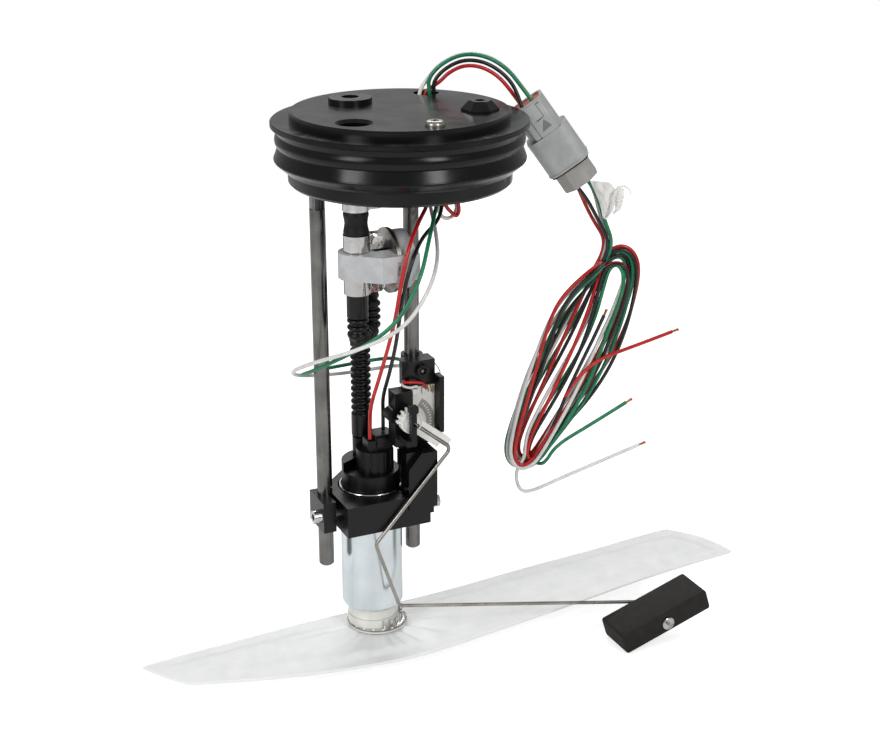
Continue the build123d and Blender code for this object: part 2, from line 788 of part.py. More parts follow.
# Two field magnets against the can
with BuildPart() as pump_magnets:
    with BuildSketch(Plane.XY.offset(armature_bottom)):
        with Locations((pump_x, pump_y)):
            Circle(inner_radius)
            Circle(inner_radius - magnet_wall + fit_gap, mode=Mode.SUBTRACT)
            Rectangle(3 * can_radius, 12.0, mode=Mode.SUBTRACT)
    extrude(amount=armature_length)
put(pump_magnets, "pump_magnets")

# Carbon brushes, held in the head and reaching the commutator's side
brush_mid = armature_top + commutator_length / 2
with BuildPart() as pump_brushes:
    for side in (-1, 1):
        with Locations((pump_x + side * (commutator_radius + body_gap), pump_y, brush_mid)):
            Box(inner_radius - commutator_radius - 2 * body_gap, 4.0, 4.4,
                align=(Align.MIN if side > 0 else Align.MAX, Align.CENTER, Align.CENTER))
put(pump_brushes, "pump_brushes")

# Plug on the turret, with a collar where the two pump leads go in
with BuildPart() as pump_plug:
    with Locations((plug_x, plug_y, turret_top)):
        Box(plug_width, plug_depth, plug_height, align=upward)
    fillet(pump_plug.edges().filter_by(Axis.Z), 2.0)
    with Locations((plug_x - plug_width / 2, plug_y, turret_top + plug_height - 3.4)):
        Box(4.4, plug_depth + 2, 8, align=(Align.MIN, Align.CENTER, Align.MIN), mode=Mode.SUBTRACT)
put(pump_plug, "pump_plug")

# Rubber sleeve between the can and its bracket
with BuildPart() as pump_isolator:
    with BuildSketch(Plane.XY.offset(bracket_bottom)):
        with Locations((pump_x, pump_y)):
            Circle(can_radius + isolator_wall)
            Circle(can_radius, mode=Mode.SUBTRACT)
    extrude(amount=can_top - bracket_bottom - 1.0)
put(pump_isolator, "pump_isolator")

# Bracket: a machined block round the pump with an ear on each rod
bracket_height = bracket_top - bracket_bottom
with BuildPart() as pump_bracket:
    with BuildSketch(Plane.XY.offset(bracket_bottom)):
        with BuildLine():
            Polyline(
                (bracket_left, bracket_front),
                (bracket_right, bracket_front),
                (bracket_right, bracket_back - bracket_corner),
                (bracket_right - bracket_corner, bracket_back),
                (bracket_left + bracket_corner, bracket_back),
                (bracket_left, bracket_back - bracket_corner),
                (bracket_left, bracket_front),
            )
        make_face()
        with Locations((ear_left, ear_front)):
            Rectangle(bracket_left + 8 - ear_left, ear_back - ear_front, align=(Align.MIN, Align.MIN))
        with Locations((ear_right, ear_front)):
            Rectangle(ear_right - bracket_right + 8, ear_back - ear_front, align=(Align.MAX, Align.MIN))
    extrude(amount=bracket_height)
    with Locations((pump_x, pump_y, bracket_bottom)):
        Cylinder(can_radius + isolator_wall, 3 * bracket_height, mode=Mode.SUBTRACT)
    with Locations((rod_left_x, rod_y, bracket_bottom), (rod_right_x, rod_y, bracket_bottom)):
        Cylinder(rod_radius + fit_gap, 3 * bracket_height, mode=Mode.SUBTRACT)
    toward_front = (Align.MIN, Align.MAX, Align.MIN)
    with Locations((bracket_left - slot_width, rod_y, bracket_bottom), (bracket_right, rod_y, bracket_bottom)):
        Box(slot_width, bracket_front * -2, bracket_height, align=toward_front, mode=Mode.SUBTRACT)
    with Locations((tower_left - body_gap, bracket_front - 1, tower_seat)):
        Box(through_cut, through_cut, through_cut, align=3 * (Align.MIN,), mode=Mode.SUBTRACT)
    with Locations(Plane((ear_left, clamp_bolt_y, bracket_top - bracket_height / 2), z_dir=(1, 0, 0))):
        Cylinder(clamp_bolt_radius, clamp_bolt_length, align=upward, mode=Mode.SUBTRACT)
    with Locations(Plane((ear_right, clamp_bolt_y, (tower_seat + bracket_bottom) / 2), z_dir=(-1, 0, 0))):
        Cylinder(clamp_bolt_radius, clamp_bolt_length, align=upward, mode=Mode.SUBTRACT)
put(pump_bracket, "pump_bracket")

# Socket-head screws that pinch the ears on the rods
with BuildPart() as bracket_screws:
    left_screw = (ear_left, bracket_top - bracket_height / 2, -1)
    right_screw = (ear_right, (tower_seat + bracket_bottom) / 2, 1)
    for x, z, out in (left_screw, right_screw):
        with Locations(Plane((x, clamp_bolt_y, z), z_dir=(out, 0, 0))):
            Cylinder(clamp_bolt_head_radius, clamp_bolt_head_height, align=upward)
            Cylinder(clamp_bolt_radius, clamp_bolt_length, align=downward)
            with BuildSketch(Plane((x + out * clamp_bolt_head_height, clamp_bolt_y, z), z_dir=(out, 0, 0))):
                RegularPolygon(2.3, 6)
            extrude(amount=-2.6, mode=Mode.SUBTRACT)
put(bracket_screws, "bracket_screws")

# Tower: front slab up to the sender, and a lower block round the right rod
with BuildPart() as sender_tower:
    with BuildSketch(Plane.XY.offset(tower_seat)):
        with Locations((tower_left, tower_front)):
            Rectangle(tower_right - tower_left, tower_back - tower_front, align=(Align.MIN, Align.MIN))
        with Locations((rod_right_x, rod_y)):
            Circle(rod_radius + fit_gap, mode=Mode.SUBTRACT)
        with Locations((pump_x, pump_y)):
            Circle(can_radius + isolator_wall + tower_bore_gap, mode=Mode.SUBTRACT)
    extrude(amount=tower_step - tower_seat)
    with BuildSketch(Plane.XY.offset(tower_step)):
        with Locations((tower_left, tower_front)):
            Rectangle(tower_right - tower_left, tower_slab_back - tower_front, align=(Align.MIN, Align.MIN))
    extrude(amount=tower_top - tower_step)
    with BuildSketch(Plane.XZ.offset(-tower_front)):
        with BuildLine():
            Polyline(
                (tower_left, tower_top),
                (tower_left + 8.5, tower_top),
                (tower_left, tower_top - 10.0),
                (tower_left, tower_top),
            )
        make_face()
    extrude(amount=-4.0, mode=Mode.SUBTRACT)
put(sender_tower, "sender_tower")

# Sender clamp block on the right rod
screw_plane = Plane((rod_right_x, block_front, (block_top + block_bottom) / 2 + 1.2), z_dir=(0, -1, 0))
screw_reach = rod_y - rod_radius - block_front
with BuildPart() as sender_block:
    with BuildSketch(Plane.XY.offset(block_bottom)):
        with BuildLine():
            Polyline(
                (block_left + block_chamfer, block_step),
                (block_left, block_step - block_chamfer),
                (block_left, block_front + block_chamfer),
                (block_left + block_chamfer, block_front),
                (block_right, block_front),
                (block_right, block_step),
                (block_left + block_chamfer, block_step),
            )
        make_face()
        with Locations((rod_right_x, rod_y)):
            Circle(block_ring_radius)
            Circle(rod_radius + fit_gap, mode=Mode.SUBTRACT)
    extrude(amount=block_top - block_bottom)
    with Locations(screw_plane):
        Cylinder(set_screw_radius, screw_reach, align=downward, mode=Mode.SUBTRACT)
put(sender_block, "sender_block")

with BuildPart() as sender_screw:
    with Locations(screw_plane):
        Cylinder(set_screw_head_radius, 2.2, align=upward)
        Cylinder(set_screw_radius, screw_reach, align=downward)
        with Locations((0, 0, 2.2)):
            Cylinder(1.9, 1.5, align=downward, mode=Mode.SUBTRACT)
put(sender_screw, "sender_screw")

# Sender frame: back plate under the block, left housing, right rail, and the post that holds the pivot
with BuildPart() as sender_frame:
    with BuildSketch(Plane.XZ.offset(-frame_back)):
        with BuildLine():
            Polyline(
                (frame_left, block_bottom - body_gap),
                (frame_right, block_bottom - body_gap),
                (frame_right, rail_bottom),
                (frame_right - 6.0, tower_top + body_gap),
                (frame_left + 4.0, tower_top + body_gap),
                (frame_left, tower_top + 4.0),
                (frame_left, block_bottom - body_gap),
            )
        make_face()
    extrude(amount=frame_plate)
    plate_front = frame_back - frame_plate
    with BuildSketch(Plane.XZ.offset(-plate_front)):
        with Locations(((frame_left + card_left - 1.4) / 2, (block_bottom + rail_bottom) / 2 - 2.5)):
            Rectangle(card_left - 1.4 - frame_left, block_bottom - rail_bottom + 4.0)
        with Locations((frame_left, lug_z)):
            Circle(lug_radius)
        with Locations((frame_right, (block_bottom + 6.0 + rail_bottom) / 2)):
            Rectangle(rail_width, block_bottom + 6.0 - rail_bottom, align=(Align.MAX, Align.CENTER))
    extrude(amount=plate_front - frame_wall_front)
    with BuildSketch(Plane.XZ.offset(-frame_wall_front)):
        with Locations((post_right, post_bottom - 1.6)):
            Rectangle(post_foot, 3.6, align=(Align.MAX, Align.CENTER))
    extrude(amount=frame_wall_front - post_front)
    with BuildSketch(Plane.XZ.offset(-post_back)):
        with Locations(((post_left + post_right) / 2, (post_top + post_bottom) / 2 - 0.5)):
            Rectangle(post_right - post_left, post_top - post_bottom + 1.0)
        with Locations(((post_left + post_right) / 2, post_top - 2.4)):
            RectangleRounded(post_right - post_left + 2.4, 5.0, 1.2)
    extrude(amount=post_back - post_front)
    with Locations(Plane((pivot_x, plate_front + 0.5, pivot_z), z_dir=(0, -1, 0))):
        Cylinder(pivot_boss_radius, plate_front + 0.5 - hub_back - body_gap, align=upward)
        Cylinder(arm_radius + fit_gap, through_cut, mode=Mode.SUBTRACT)
put(sender_frame, "sender_frame")

# Ceramic card with the resistor track, and its solder terminals
plate_front = frame_back - frame_plate
with BuildPart() as resistor_card:
    with BuildSketch(Plane.XZ.offset(-plate_front)):
        with Locations(((card_left + card_right) / 2, (card_top + card_bottom) / 2)):
            Rectangle(card_right - card_left, card_top - card_bottom)
    extrude(amount=card_thickness)
put(resistor_card, "resistor_card")

card_front = plate_front - card_thickness
with BuildPart() as card_terminals:
    for x in (card_left + 2.0, card_left + 8.6):
        with Locations((x, card_front, card_top - 2.4)):
            Box(2.4, 1.4, 3.4, align=(Align.CENTER, Align.MAX, Align.CENTER))
put(card_terminals, "card_terminals")

# Wiper: a hub on the pivot with an arm along the float wire
wire_angle = math.degrees(math.atan2(elbow_z - pivot_z, elbow_x - pivot_x))
with BuildPart() as wiper_arm:
    with BuildSketch(Plane.XZ.offset(-hub_back)):
        with Locations((pivot_x, pivot_z)):
            Circle(hub_radius)
            with Locations(Location((0, 0, 0), (0, 0, wire_angle))):
                with Locations((arm_reach / 2, 0)):
                    Rectangle(arm_reach, arm_width)
                with Locations((arm_reach, arm_width / 2)):
                    Rectangle(tab_length, tab_width, align=(Align.MIN, Align.MAX))
            Circle(arm_radius + 2 * fit_gap, mode=Mode.SUBTRACT)
    extrude(amount=hub_back - hub_front)
    with BuildSketch(Plane.XZ.offset(-(arm_plane + arm_radius + fit_gap))):
        with Locations((pivot_x, pivot_z)):
            with Locations(Location((0, 0, 0), (0, 0, wire_angle))):
                Rectangle(2 * arm_reach, 2 * (arm_radius + fit_gap), align=(Align.MIN, Align.CENTER))
    extrude(amount=2 * arm_reach, mode=Mode.SUBTRACT)
put(wiper_arm, "wiper_arm")

# Sprung contact strips between the wiper and the card
with BuildPart() as wiper_contacts:
    with BuildSketch(Plane.XZ.offset(-hub_back)):
        with Locations((pivot_x, pivot_z)):
            with Locations(Location((0, 0, 0), (0, 0, wire_angle))):
                with Locations((13.0, 0)):
                    Rectangle(8.0, contact_width)
    extrude(amount=-0.5)
    with BuildSketch(Plane.XZ.offset(-hub_back)):
        with Locations((pivot_x, pivot_z)):
            with Locations(Location((0, 0, 0), (0, 0, wire_angle))):
                with Locations((16.4, 0)):
                    Rectangle(1.0, contact_width)
    extrude(amount=-(card_front - body_gap - hub_back))
put(wiper_contacts, "wiper_contacts")

# Float arm wire: pivot pin, elbow, knee, ankle, and the pin that carries the float
float_back = float_y + float_width / 2
pin_end = float_y - float_width / 2 - retainer_thickness - 2.0
arm_route = [
    (pivot_x, plate_front - 0.6, pivot_z),
    (pivot_x, arm_plane, pivot_z),
    (elbow_x, arm_plane, elbow_z),
    (knee_x, arm_plane, knee_z),
    (ankle_x, arm_plane, ankle_z),
    (float_x, float_back + 2.4, float_z),
    (float_x, pin_end, float_z),
]
with BuildPart() as float_wire:
    with BuildLine() as wire_path:
        FilletPolyline(*arm_route, radius=[1.6, wire_bend, wire_bend, wire_bend, 1.6])
    with BuildSketch(Plane(origin=wire_path.line @ 0, z_dir=wire_path.line % 0)):
        Circle(arm_radius)
    sweep()
put(float_wire, "float_wire")

float_turn = math.radians(float_tilt)
float_plane = Plane(
    (float_x, float_back, float_z),
    x_dir=(math.cos(float_turn), 0, math.sin(float_turn)),
    z_dir=(0, -1, 0),
)
with BuildPart() as float_block:
    with BuildSketch(float_plane):
        RectangleRounded(float_length, float_height, 1.2)
        Circle(arm_radius + float_swivel_gap, mode=Mode.SUBTRACT)
    extrude(amount=float_width)
put(float_block, "float_block")

with BuildPart() as float_retainer:
    with Locations(Plane((float_x, float_y - float_width / 2 - body_gap, float_z), z_dir=(0, -1, 0))):
        Cylinder(retainer_radius, retainer_thickness, align=upward)
        Cylinder(arm_radius, 6, mode=Mode.SUBTRACT)
put(float_retainer, "float_retainer")

# Strainer collar: joins the pump's inlet to the filter sock
with BuildPart() as strainer_collar:
    with BuildSketch(Plane.XY.offset(collar_bottom)):
        with Locations((pump_x + disc_shift_x, pump_y + disc_shift_y)):
            Circle(collar_radius)
    extrude(amount=disc_thickness)
    with BuildSketch(Plane.XY.offset(collar_bottom)):
        with Locations((pump_x, pump_y)):
            Circle(neck_radius)
            Circle(neck_radius - neck_wall, mode=Mode.SUBTRACT)
    extrude(amount=collar_top - collar_bottom - body_gap)
    with Locations((pump_x + inlet_shift, pump_y, collar_bottom)):
        Cylinder(inlet_boss_radius + fit_gap, 3 * disc_thickness, mode=Mode.SUBTRACT)
    with BuildSketch(Plane.XY.offset(collar_bottom)):
        with Locations((pump_x + inlet_shift, pump_y)):
            Circle(inlet_boss_radius + 2.0)
            Circle(inlet_boss_radius + fit_gap, mode=Mode.SUBTRACT)
    extrude(amount=collar_top - collar_bottom - 1.0)
put(strainer_collar, "strainer_collar")

# Filter sock: a long flat pouch, sealed round its rim
mat_angle = math.radians(mat_turn)
mat_plane = Plane((mat_left_x, mat_left_y, 0), x_dir=(math.cos(mat_angle), math.sin(mat_angle), 0))


def sock_outline(inset):
    """Outline of the sock, drawn in from its rim by inset."""
    left = inset
    right = mat_length - inset
    half_left = mat_left_half - inset * 0.9
    half_mid = mat_mid_half - inset
    half_right = mat_right_half - inset
    with BuildSketch() as outline:
        with BuildLine():
            Spline((left, half_left), (0.36 * mat_length, half_mid), (right, half_right))
            Line((right, half_right), (right, -half_right))
            Spline((right, -half_right), (0.42 * mat_length, -half_mid), (left, -half_left))
            Line((left, -half_left), (left, half_left))
        make_face()
    return outline.sketch


mat_mid = (mat_top + mat_bottom) / 2
with BuildPart() as strainer_sock:
    with BuildSketch(mat_plane.offset(mat_mid - mat_rim_thickness / 2)):
        add(sock_outline(0))
    extrude(amount=mat_rim_thickness)
    with BuildSketch(mat_plane.offset(mat_bottom)):
        add(sock_outline(mat_rim_width + 2))
    with BuildSketch(mat_plane.offset(mat_mid - mat_rim_thickness / 2)):
        add(sock_outline(mat_rim_width * 0.5))
    loft()
    with BuildSketch(mat_plane.offset(mat_mid + mat_rim_thickness / 2)):
        add(sock_outline(mat_rim_width * 0.5))
    with BuildSketch(mat_plane.offset(mat_top)):
        add(sock_outline(mat_rim_width + 2))
    loft()
put(strainer_sock, "strainer_sock")

# Connector: its axis leans down and away from the flange in the harness plane
side = Vector(math.cos(math.radians(harness_turn)), math.sin(math.radians(harness_turn)), 0)
lean = math.radians(plug_lean)
down_axis = side * math.sin(lean) + Vector(0, 0, -math.cos(lean))
plug_normal = Vector(side.Y, -side.X, 0)


def on_plug(along, across=0.0, depth=0.0):
    """A point of the connector: along its axis downwards, across to the right, and in depth."""
    centre = Vector(plug_axis_x, plug_axis_y, plug_axis_z)
    right = side * math.cos(lean) + Vector(0, 0, math.sin(lean))
    return centre + down_axis * along + right * across + plug_normal * -depth


def plug_section(along):
    """Sketch plane square to the connector's axis."""
    return Plane(on_plug(along), x_dir=plug_normal.cross(down_axis), z_dir=down_axis)


with BuildPart() as socket_shell:
    with BuildSketch(plug_section(-upper_length)):
        RectangleRounded(2 * upper_half, 2 * upper_half - 1.0, 5.0)
    extrude(amount=upper_length - shroud_length)
    with BuildSketch(plug_section(-shroud_length)):
        RectangleRounded(2 * shroud_half, 2 * shroud_half - 2.0, 7.5)
    extrude(amount=shroud_length)
    with BuildSketch(plug_section(0)):
        RectangleRounded(2 * shroud_half - 2 * shroud_wall, 2 * shroud_half - 2 - 2 * shroud_wall, 6.0)
    extrude(amount=-(shroud_length - 4.0), mode=Mode.SUBTRACT)
    with BuildSketch(plug_section(-upper_length)):
        RectangleRounded(2 * upper_half - 3.2, 2 * upper_half - 4.2, 3.6)
    extrude(amount=mouth_depth, mode=Mode.SUBTRACT)
put(socket_shell, "socket_shell")

plug_inner = shroud_half - shroud_wall - body_gap
with BuildPart() as plug_shell:
    with BuildSketch(plug_section(-(shroud_length - 4.0) + body_gap)):
        RectangleRounded(2 * plug_inner, 2 * plug_inner - 2.0, 5.8)
    extrude(amount=shroud_length - 4.0 - body_gap)
    with BuildSketch(plug_section(0)):
        RectangleRounded(2 * tail_half, 2 * tail_half - 1.0, 4.0)
    extrude(amount=tail_length)
put(plug_shell, "plug_shell")

# Orange wedge that locks the terminals, deep in the socket's mouth
wedge_top = -upper_length + 1.2
with BuildPart() as lock_wedge:
    with BuildSketch(plug_section(wedge_top)):
        RectangleRounded(2 * upper_half - 3.6, 2 * upper_half - 4.6, 3.4)
        with GridLocations(7.4, 7.0, 2, 2):
            Circle(lead_diameter / 2 + fit_gap, mode=Mode.SUBTRACT)
    extrude(amount=mouth_depth - 1.2)
put(lock_wedge, "lock_wedge")

# Leads that come out of the connector's upper end, arch over, pass the lid and run inside the tank
plug_pins = {"red": (-3.7, -3.5), "black": (-3.7, 3.5), "white": (3.7, -3.5), "green": (3.7, 3.5)}


def pin_point(colour, along):
    """Where a lead meets the connector."""
    plane = plug_section(along)
    across, depth = plug_pins[colour]
    point = plane.from_local_coords(Vector(across, depth, 0))
    return (point.X, point.Y, point.Z)


def through_lid(colour, z):
    """A point on the straight stretch of a lead through the lid."""
    return (lead_places[colour][0], lead_places[colour][1], z)


# The arch of the four leads from the connector to the lid: each point's place, then its outward direction
arch_line = (
    (87.0, 16.6, 36.5, 0.95, 0.30),
    (79.0, 20.2, 47.5, 0.75, 0.66),
    (67.5, 25.2, 55.0, 0.35, 0.94),
    (55.0, 30.6, 56.3, -0.15, 0.99),
    (43.5, 35.0, 50.5, -0.65, 0.76),
    (36.8, 38.0, 42.0, -0.93, 0.36),
)


def over_arch(outward, forward):
    """Points of one lead of the arch, beside the arch's middle line."""
    points = []
    for x, y, z, level, rise in arch_line:
        point = Vector(x, y, z + rise * outward) + side * (level * outward) + plug_normal * forward
        points.append((point.X, point.Y, point.Z))
    return points


lead_routes = {
    "red": [
        pin_point("red", wedge_top - 0.6),
        *over_arch(-1.8, -1.8),
        through_lid("red", 34.5),
        through_lid("red", 12.0),
        (30.5, 33.0, 1.0),
        (24.0, 11.0, -12.0),
        (12.5, -13.0, -20.5),
        (-5.0, -36.0, -25.5),
        (-17.1, -49.5, -36.0),
        (-22.4, -51.0, -56.0),
        (-23.8, -46.0, -77.9),
        (-25.2, -37.0, -99.4),
        (-26.6, -26.0, -122.0),
        (-27.6, -14.5, -143.0),
        (-24.9, -6.6, -158.5),
        (-24.7, -6.0, turret_top + plug_height - 2.6),
    ],
    "black": [
        pin_point("black", wedge_top - 0.6),
        *over_arch(-1.8, 1.8),
        through_lid("black", 34.5),
        through_lid("black", 12.0),
        (39.5, 31.0, -1.0),
        (33.0, 12.0, -20.0),
        (21.0, -12.0, -31.0),
        (2.0, -28.5, -35.5),
        (-12.3, -48.9, -38.3),
        (-18.3, -51.6, -51.0),
        (-20.3, -48.5, -65.0),
        (-20.2, -43.0, -81.0),
        (-19.6, -36.0, -98.3),
        (-20.1, -27.0, -119.0),
        (-19.0, -13.5, -138.0),
        (-15.2, -4.6, -153.0),
        (-14.8, -3.4, turret_top + plug_height + 0.6),
    ],
    "green": [
        pin_point("green", wedge_top - 0.6),
        *over_arch(1.8, 1.8),
        through_lid("green", 34.5),
        through_lid("green", 12.0),
        (36.0, 29.0, 2.0),
        (29.0, 4.0, -12.0),
        (13.5, -22.0, -19.5),
        (-1.5, -44.0, -33.8),
        (-12.4, -56.0, -53.6),
        (-28.4, -58.0, -77.8),
        (-50.0, -47.0, -94.0),
        (-66.0, -25.0, -109.8),
        (-68.5, 0.0, -122.5),
        (-54.0, 21.0, -128.5),
        (-29.0, 29.0, -131.0),
        (-8.0, 27.0, -129.5),
        (3.0, 18.5, -127.0),
        (4.4, block_back + 0.6, -126.0),
    ],
    "white": [
        pin_point("white", wedge_top - 0.6),
        *over_arch(1.8, -1.8),
        through_lid("white", 34.5),
        through_lid("white", 12.0),
        (27.0, 35.0, -1.0),
        (24.5, 14.0, -26.0),
        (15.0, -18.0, -38.0),
        (3.5, -46.0, -46.8),
        (-9.6, -60.0, -61.0),
        (-27.0, -63.0, -79.5),
        (-51.5, -52.5, -91.5),
        (-69.5, -29.5, -103.5),
        (-73.5, -2.0, -117.5),
        (-62.0, 20.5, -130.0),
        (-34.0, 32.5, -137.5),
        (-9.5, 30.0, -137.0),
        (4.5, 19.5, -132.5),
        (8.4, block_back + 0.6, -130.5),
    ],
}
for colour, route in lead_routes.items():
    tube = lead_tube(route, lead_diameter / 2, f"lead_{colour}")
    put(tube, f"lead_{colour}")

# Short tails from the sender block round to the card's terminals
tail_routes = (
    [
        (-4.6, -12.8, -130.6),
        (-5.6, -16.8, -130.8),
        (0.5, -19.4, -131.6),
        (5.8, -19.2, -133.2),
        (7.4, card_front - 2.5, card_top - 2.0),
    ],
    [
        (-5.6, -11.8, -132.6),
        (-7.2, -15.8, -132.6),
        (-3.0, -18.8, -132.9),
        (0.8, card_front - 2.5, card_top - 1.8),
    ],
)
with BuildPart() as sender_tails:
    for route in tail_routes:
        tail = lead_tube(route, 0.8, "sender_tail")
        add(tail.part)
put(sender_tails, "sender_tails")

# Hank: the loose turns of all four leads, as one slim body in the harness plane
hank_top = Vector(*hank_top_place)
hank_foot = Vector(*hank_foot_place)
hank_down = (hank_foot - hank_top).normalized()
hank_plane = Plane(hank_top, x_dir=hank_down, z_dir=plug_normal)
hank_length = (hank_foot - hank_top).length
with BuildPart() as hank:
    with BuildSketch(hank_plane.offset(-hank_thickness / 2)):
        with BuildLine():
            Spline((-2, -6), (0.3 * hank_length, -17), (0.7 * hank_length, -15), (hank_length, -7))
            Line((hank_length, -7), (hank_length, 5))
            Spline((hank_length, 5), (0.6 * hank_length, 14), (0.25 * hank_length, 17), (-2, 9))
            Line((-2, 9), (-2, -6))
        make_face()
    extrude(amount=hank_thickness)
put(hank, "hank")

# Harness below the connector: four leads down to the hank
hank_ends = {"red": (-4.6, -1.6), "black": (-1.4, 2.6), "green": (2.2, 2.6), "white": (5.4, -1.6)}


def to_hank(colour):
    """Route of one lead from the connector's tail to the top of the hank."""
    across, forward = hank_ends[colour]
    start = Vector(*pin_point(colour, tail_length + 0.6))
    end = hank_plane.from_local_coords(Vector(-2.9, across, forward))
    points = (start, start + down_axis * 13.0, end - hank_down * 14.0, end)
    return [(point.X, point.Y, point.Z) for point in points]


# Free ends of three leads, which lie in front of the hank
end_routes = {
    "red": [
        (118.0, 2.0, -147.0),
        (134.0, -5.5, -138.0),
        (155.0, -15.5, -129.0),
        (178.0, -26.0, -118.5),
    ],
    "green": [
        (94.5, 12.7, -208.5),
        (112.0, 4.7, -198.0),
        (132.0, -4.6, -183.5),
        (153.1, -14.3, -167.4),
    ],
    "white": [
        (hank_foot.X, hank_foot.Y, -206.0),
        (84.6, 17.2, -219.0),
        (86.0, 16.6, -231.5),
        (98.0, 11.2, -231.5),
        (115.0, 3.4, -222.0),
        (138.0, -7.2, -210.0),
        (162.0, -18.4, -197.4),
    ],
}
for colour in ("red", "black", "green", "white"):
    tube = lead_tube(to_hank(colour), lead_diameter / 2, f"harness_{colour}")
    with BuildPart() as harness:
        add(tube.part)
        if colour in end_routes:
            route = []
            for point in end_routes[colour]:
                moved = Vector(*point) + plug_normal * (hank_thickness / 2 + lead_diameter / 2 + body_gap)
                route.append((moved.X, moved.Y, moved.Z))
            end = lead_tube(route, lead_diameter / 2, f"end_{colour}")
            add(end.part)
    put(harness, f"harness_{colour}")

# Blank marker tape folded on the white lead
with BuildPart() as marker_tape:
    with Locations(Plane(Vector(137.0, -6.8, -30.5) + plug_normal * 6.35, x_dir=side, z_dir=plug_normal)):
        Box(19.0, 18.0, 3.0)
put(marker_tape, "marker_tape")
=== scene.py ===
import json
import math

import bmesh
import bpy
from mathutils import Matrix, Vector, noise


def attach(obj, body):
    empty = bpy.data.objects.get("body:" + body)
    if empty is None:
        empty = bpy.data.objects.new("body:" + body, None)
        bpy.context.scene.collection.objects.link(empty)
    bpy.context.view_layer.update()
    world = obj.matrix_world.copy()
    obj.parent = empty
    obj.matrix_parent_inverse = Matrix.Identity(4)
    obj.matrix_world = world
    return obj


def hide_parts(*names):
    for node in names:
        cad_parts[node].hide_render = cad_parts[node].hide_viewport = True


# Fuel pump module: flange, guide rods, pump, regulator, level sender, filter sock and harness.
# Places are in millimetres, as in the part's source, and mm() turns them into metres.

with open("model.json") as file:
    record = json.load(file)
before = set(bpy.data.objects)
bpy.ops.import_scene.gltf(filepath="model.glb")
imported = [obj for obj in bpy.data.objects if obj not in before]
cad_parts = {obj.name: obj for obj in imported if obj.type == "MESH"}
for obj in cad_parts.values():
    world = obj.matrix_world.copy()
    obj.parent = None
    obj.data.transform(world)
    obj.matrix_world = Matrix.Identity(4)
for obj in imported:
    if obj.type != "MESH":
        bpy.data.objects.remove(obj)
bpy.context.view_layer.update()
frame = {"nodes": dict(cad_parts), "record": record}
nodes = frame["nodes"]


def mm(value):
    """Millimetres to metres, for one number."""
    return value / 1000.0


def at(x, y, z):
    """A place given in millimetres, as a vector in metres."""
    return Vector((mm(x), mm(y), mm(z)))


def moved(x, y, z):
    """A matrix that shifts by millimetres."""
    return Matrix.Translation(at(x, y, z))


def scene_object(name, data):
    """A new object in the scene, at the origin."""
    piece = bpy.data.objects.new(name, data)
    bpy.context.scene.collection.objects.link(piece)
    return piece


def made_mesh(piece):
    """The mesh that an object's curve or modifiers make."""
    return bpy.data.meshes.new_from_object(piece.evaluated_get(bpy.context.evaluated_depsgraph_get()))


# Camera: the photograph's place and lens
camera_place = at(-367.8, -853.3, 218.0)
camera_turn = -24.757
camera_fall = 20.538
camera_lens = 65.5


def make_camera():
    camera = scene_object("camera", bpy.data.cameras.new("camera"))
    camera.data.lens = camera_lens
    camera.data.sensor_width = 36.0
    camera.data.clip_end = 20.0
    camera.location = camera_place
    camera.rotation_euler = (math.radians(90 - camera_fall), 0, math.radians(camera_turn))
    bpy.context.scene.camera = camera


make_camera()

# Colours and materials


def srgb(text):
    """A hex colour as linear red, green, blue and alpha."""
    parts = [int(text[k:k + 2], 16) / 255.0 for k in (1, 3, 5)]
    return tuple(c / 12.92 if c <= 0.04045 else ((c + 0.055) / 1.055) ** 2.4 for c in parts) + (1.0,)


def add_node(tree, kind, settings=None, **links):
    """Add a node, set its attributes and plain inputs, and link what is a socket."""
    node = tree.nodes.new(kind)
    for key, value in (settings or {}).items():
        setattr(node, key, value)
    for key, value in links.items():
        name = key.replace("_", " ")
        socket = node.inputs[int(key[1:])] if key[1:].isdigit() else node.inputs[name]
        if isinstance(value, bpy.types.NodeSocket):
            tree.links.new(value, socket)
        else:
            socket.default_value = value
    return node


def output_of(tree, kind, settings=None, **links):
    """The first output of a new node."""
    return add_node(tree, kind, settings, **links).outputs[0]


def maths(tree, how, *values):
    """The result of a maths node."""
    plugged = {f"i{k}": value for k, value in enumerate(values)}
    return output_of(tree, "ShaderNodeMath", {"operation": how}, **plugged)


def new_material(name):
    """An empty material with its shader, tree and object coordinates in metres."""
    material = bpy.data.materials.new(name)
    material.use_nodes = True
    tree = material.node_tree
    shader = tree.nodes["Principled BSDF"]
    place = tree.nodes.new("ShaderNodeTexCoord").outputs["Object"]
    return material, tree, shader, place


def grain(tree, place, size_mm, detail=3.0, rough=0.55, stretch=(1, 1, 1)):
    """Noise whose features are about size_mm across, drawn out along an axis by stretch."""
    mapped = output_of(tree, "ShaderNodeMapping", Vector=place, Scale=stretch)
    scale = 1.0 / mm(size_mm)
    return output_of(tree, "ShaderNodeTexNoise", Vector=mapped, Scale=scale, Detail=detail, Roughness=rough)


# Where a texture's 0 to 1 value starts to count, and where it counts in full
noise_low = 0.3
noise_high = 0.7


def spread(tree, value, low, high):
    """Turn a texture value into a range."""
    return output_of(tree, "ShaderNodeMapRange", i0=value, i1=noise_low, i2=noise_high, i3=low, i4=high)


def tint(tree, value, dark, light):
    """Blend two hex colours by a texture value."""
    ramp = tree.nodes.new("ShaderNodeValToRGB")
    for element, position, colour in zip(ramp.color_ramp.elements, (noise_low, noise_high), (dark, light)):
        element.position = position
        element.color = srgb(colour)
    tree.links.new(value, ramp.inputs[0])
    return ramp.outputs[0]


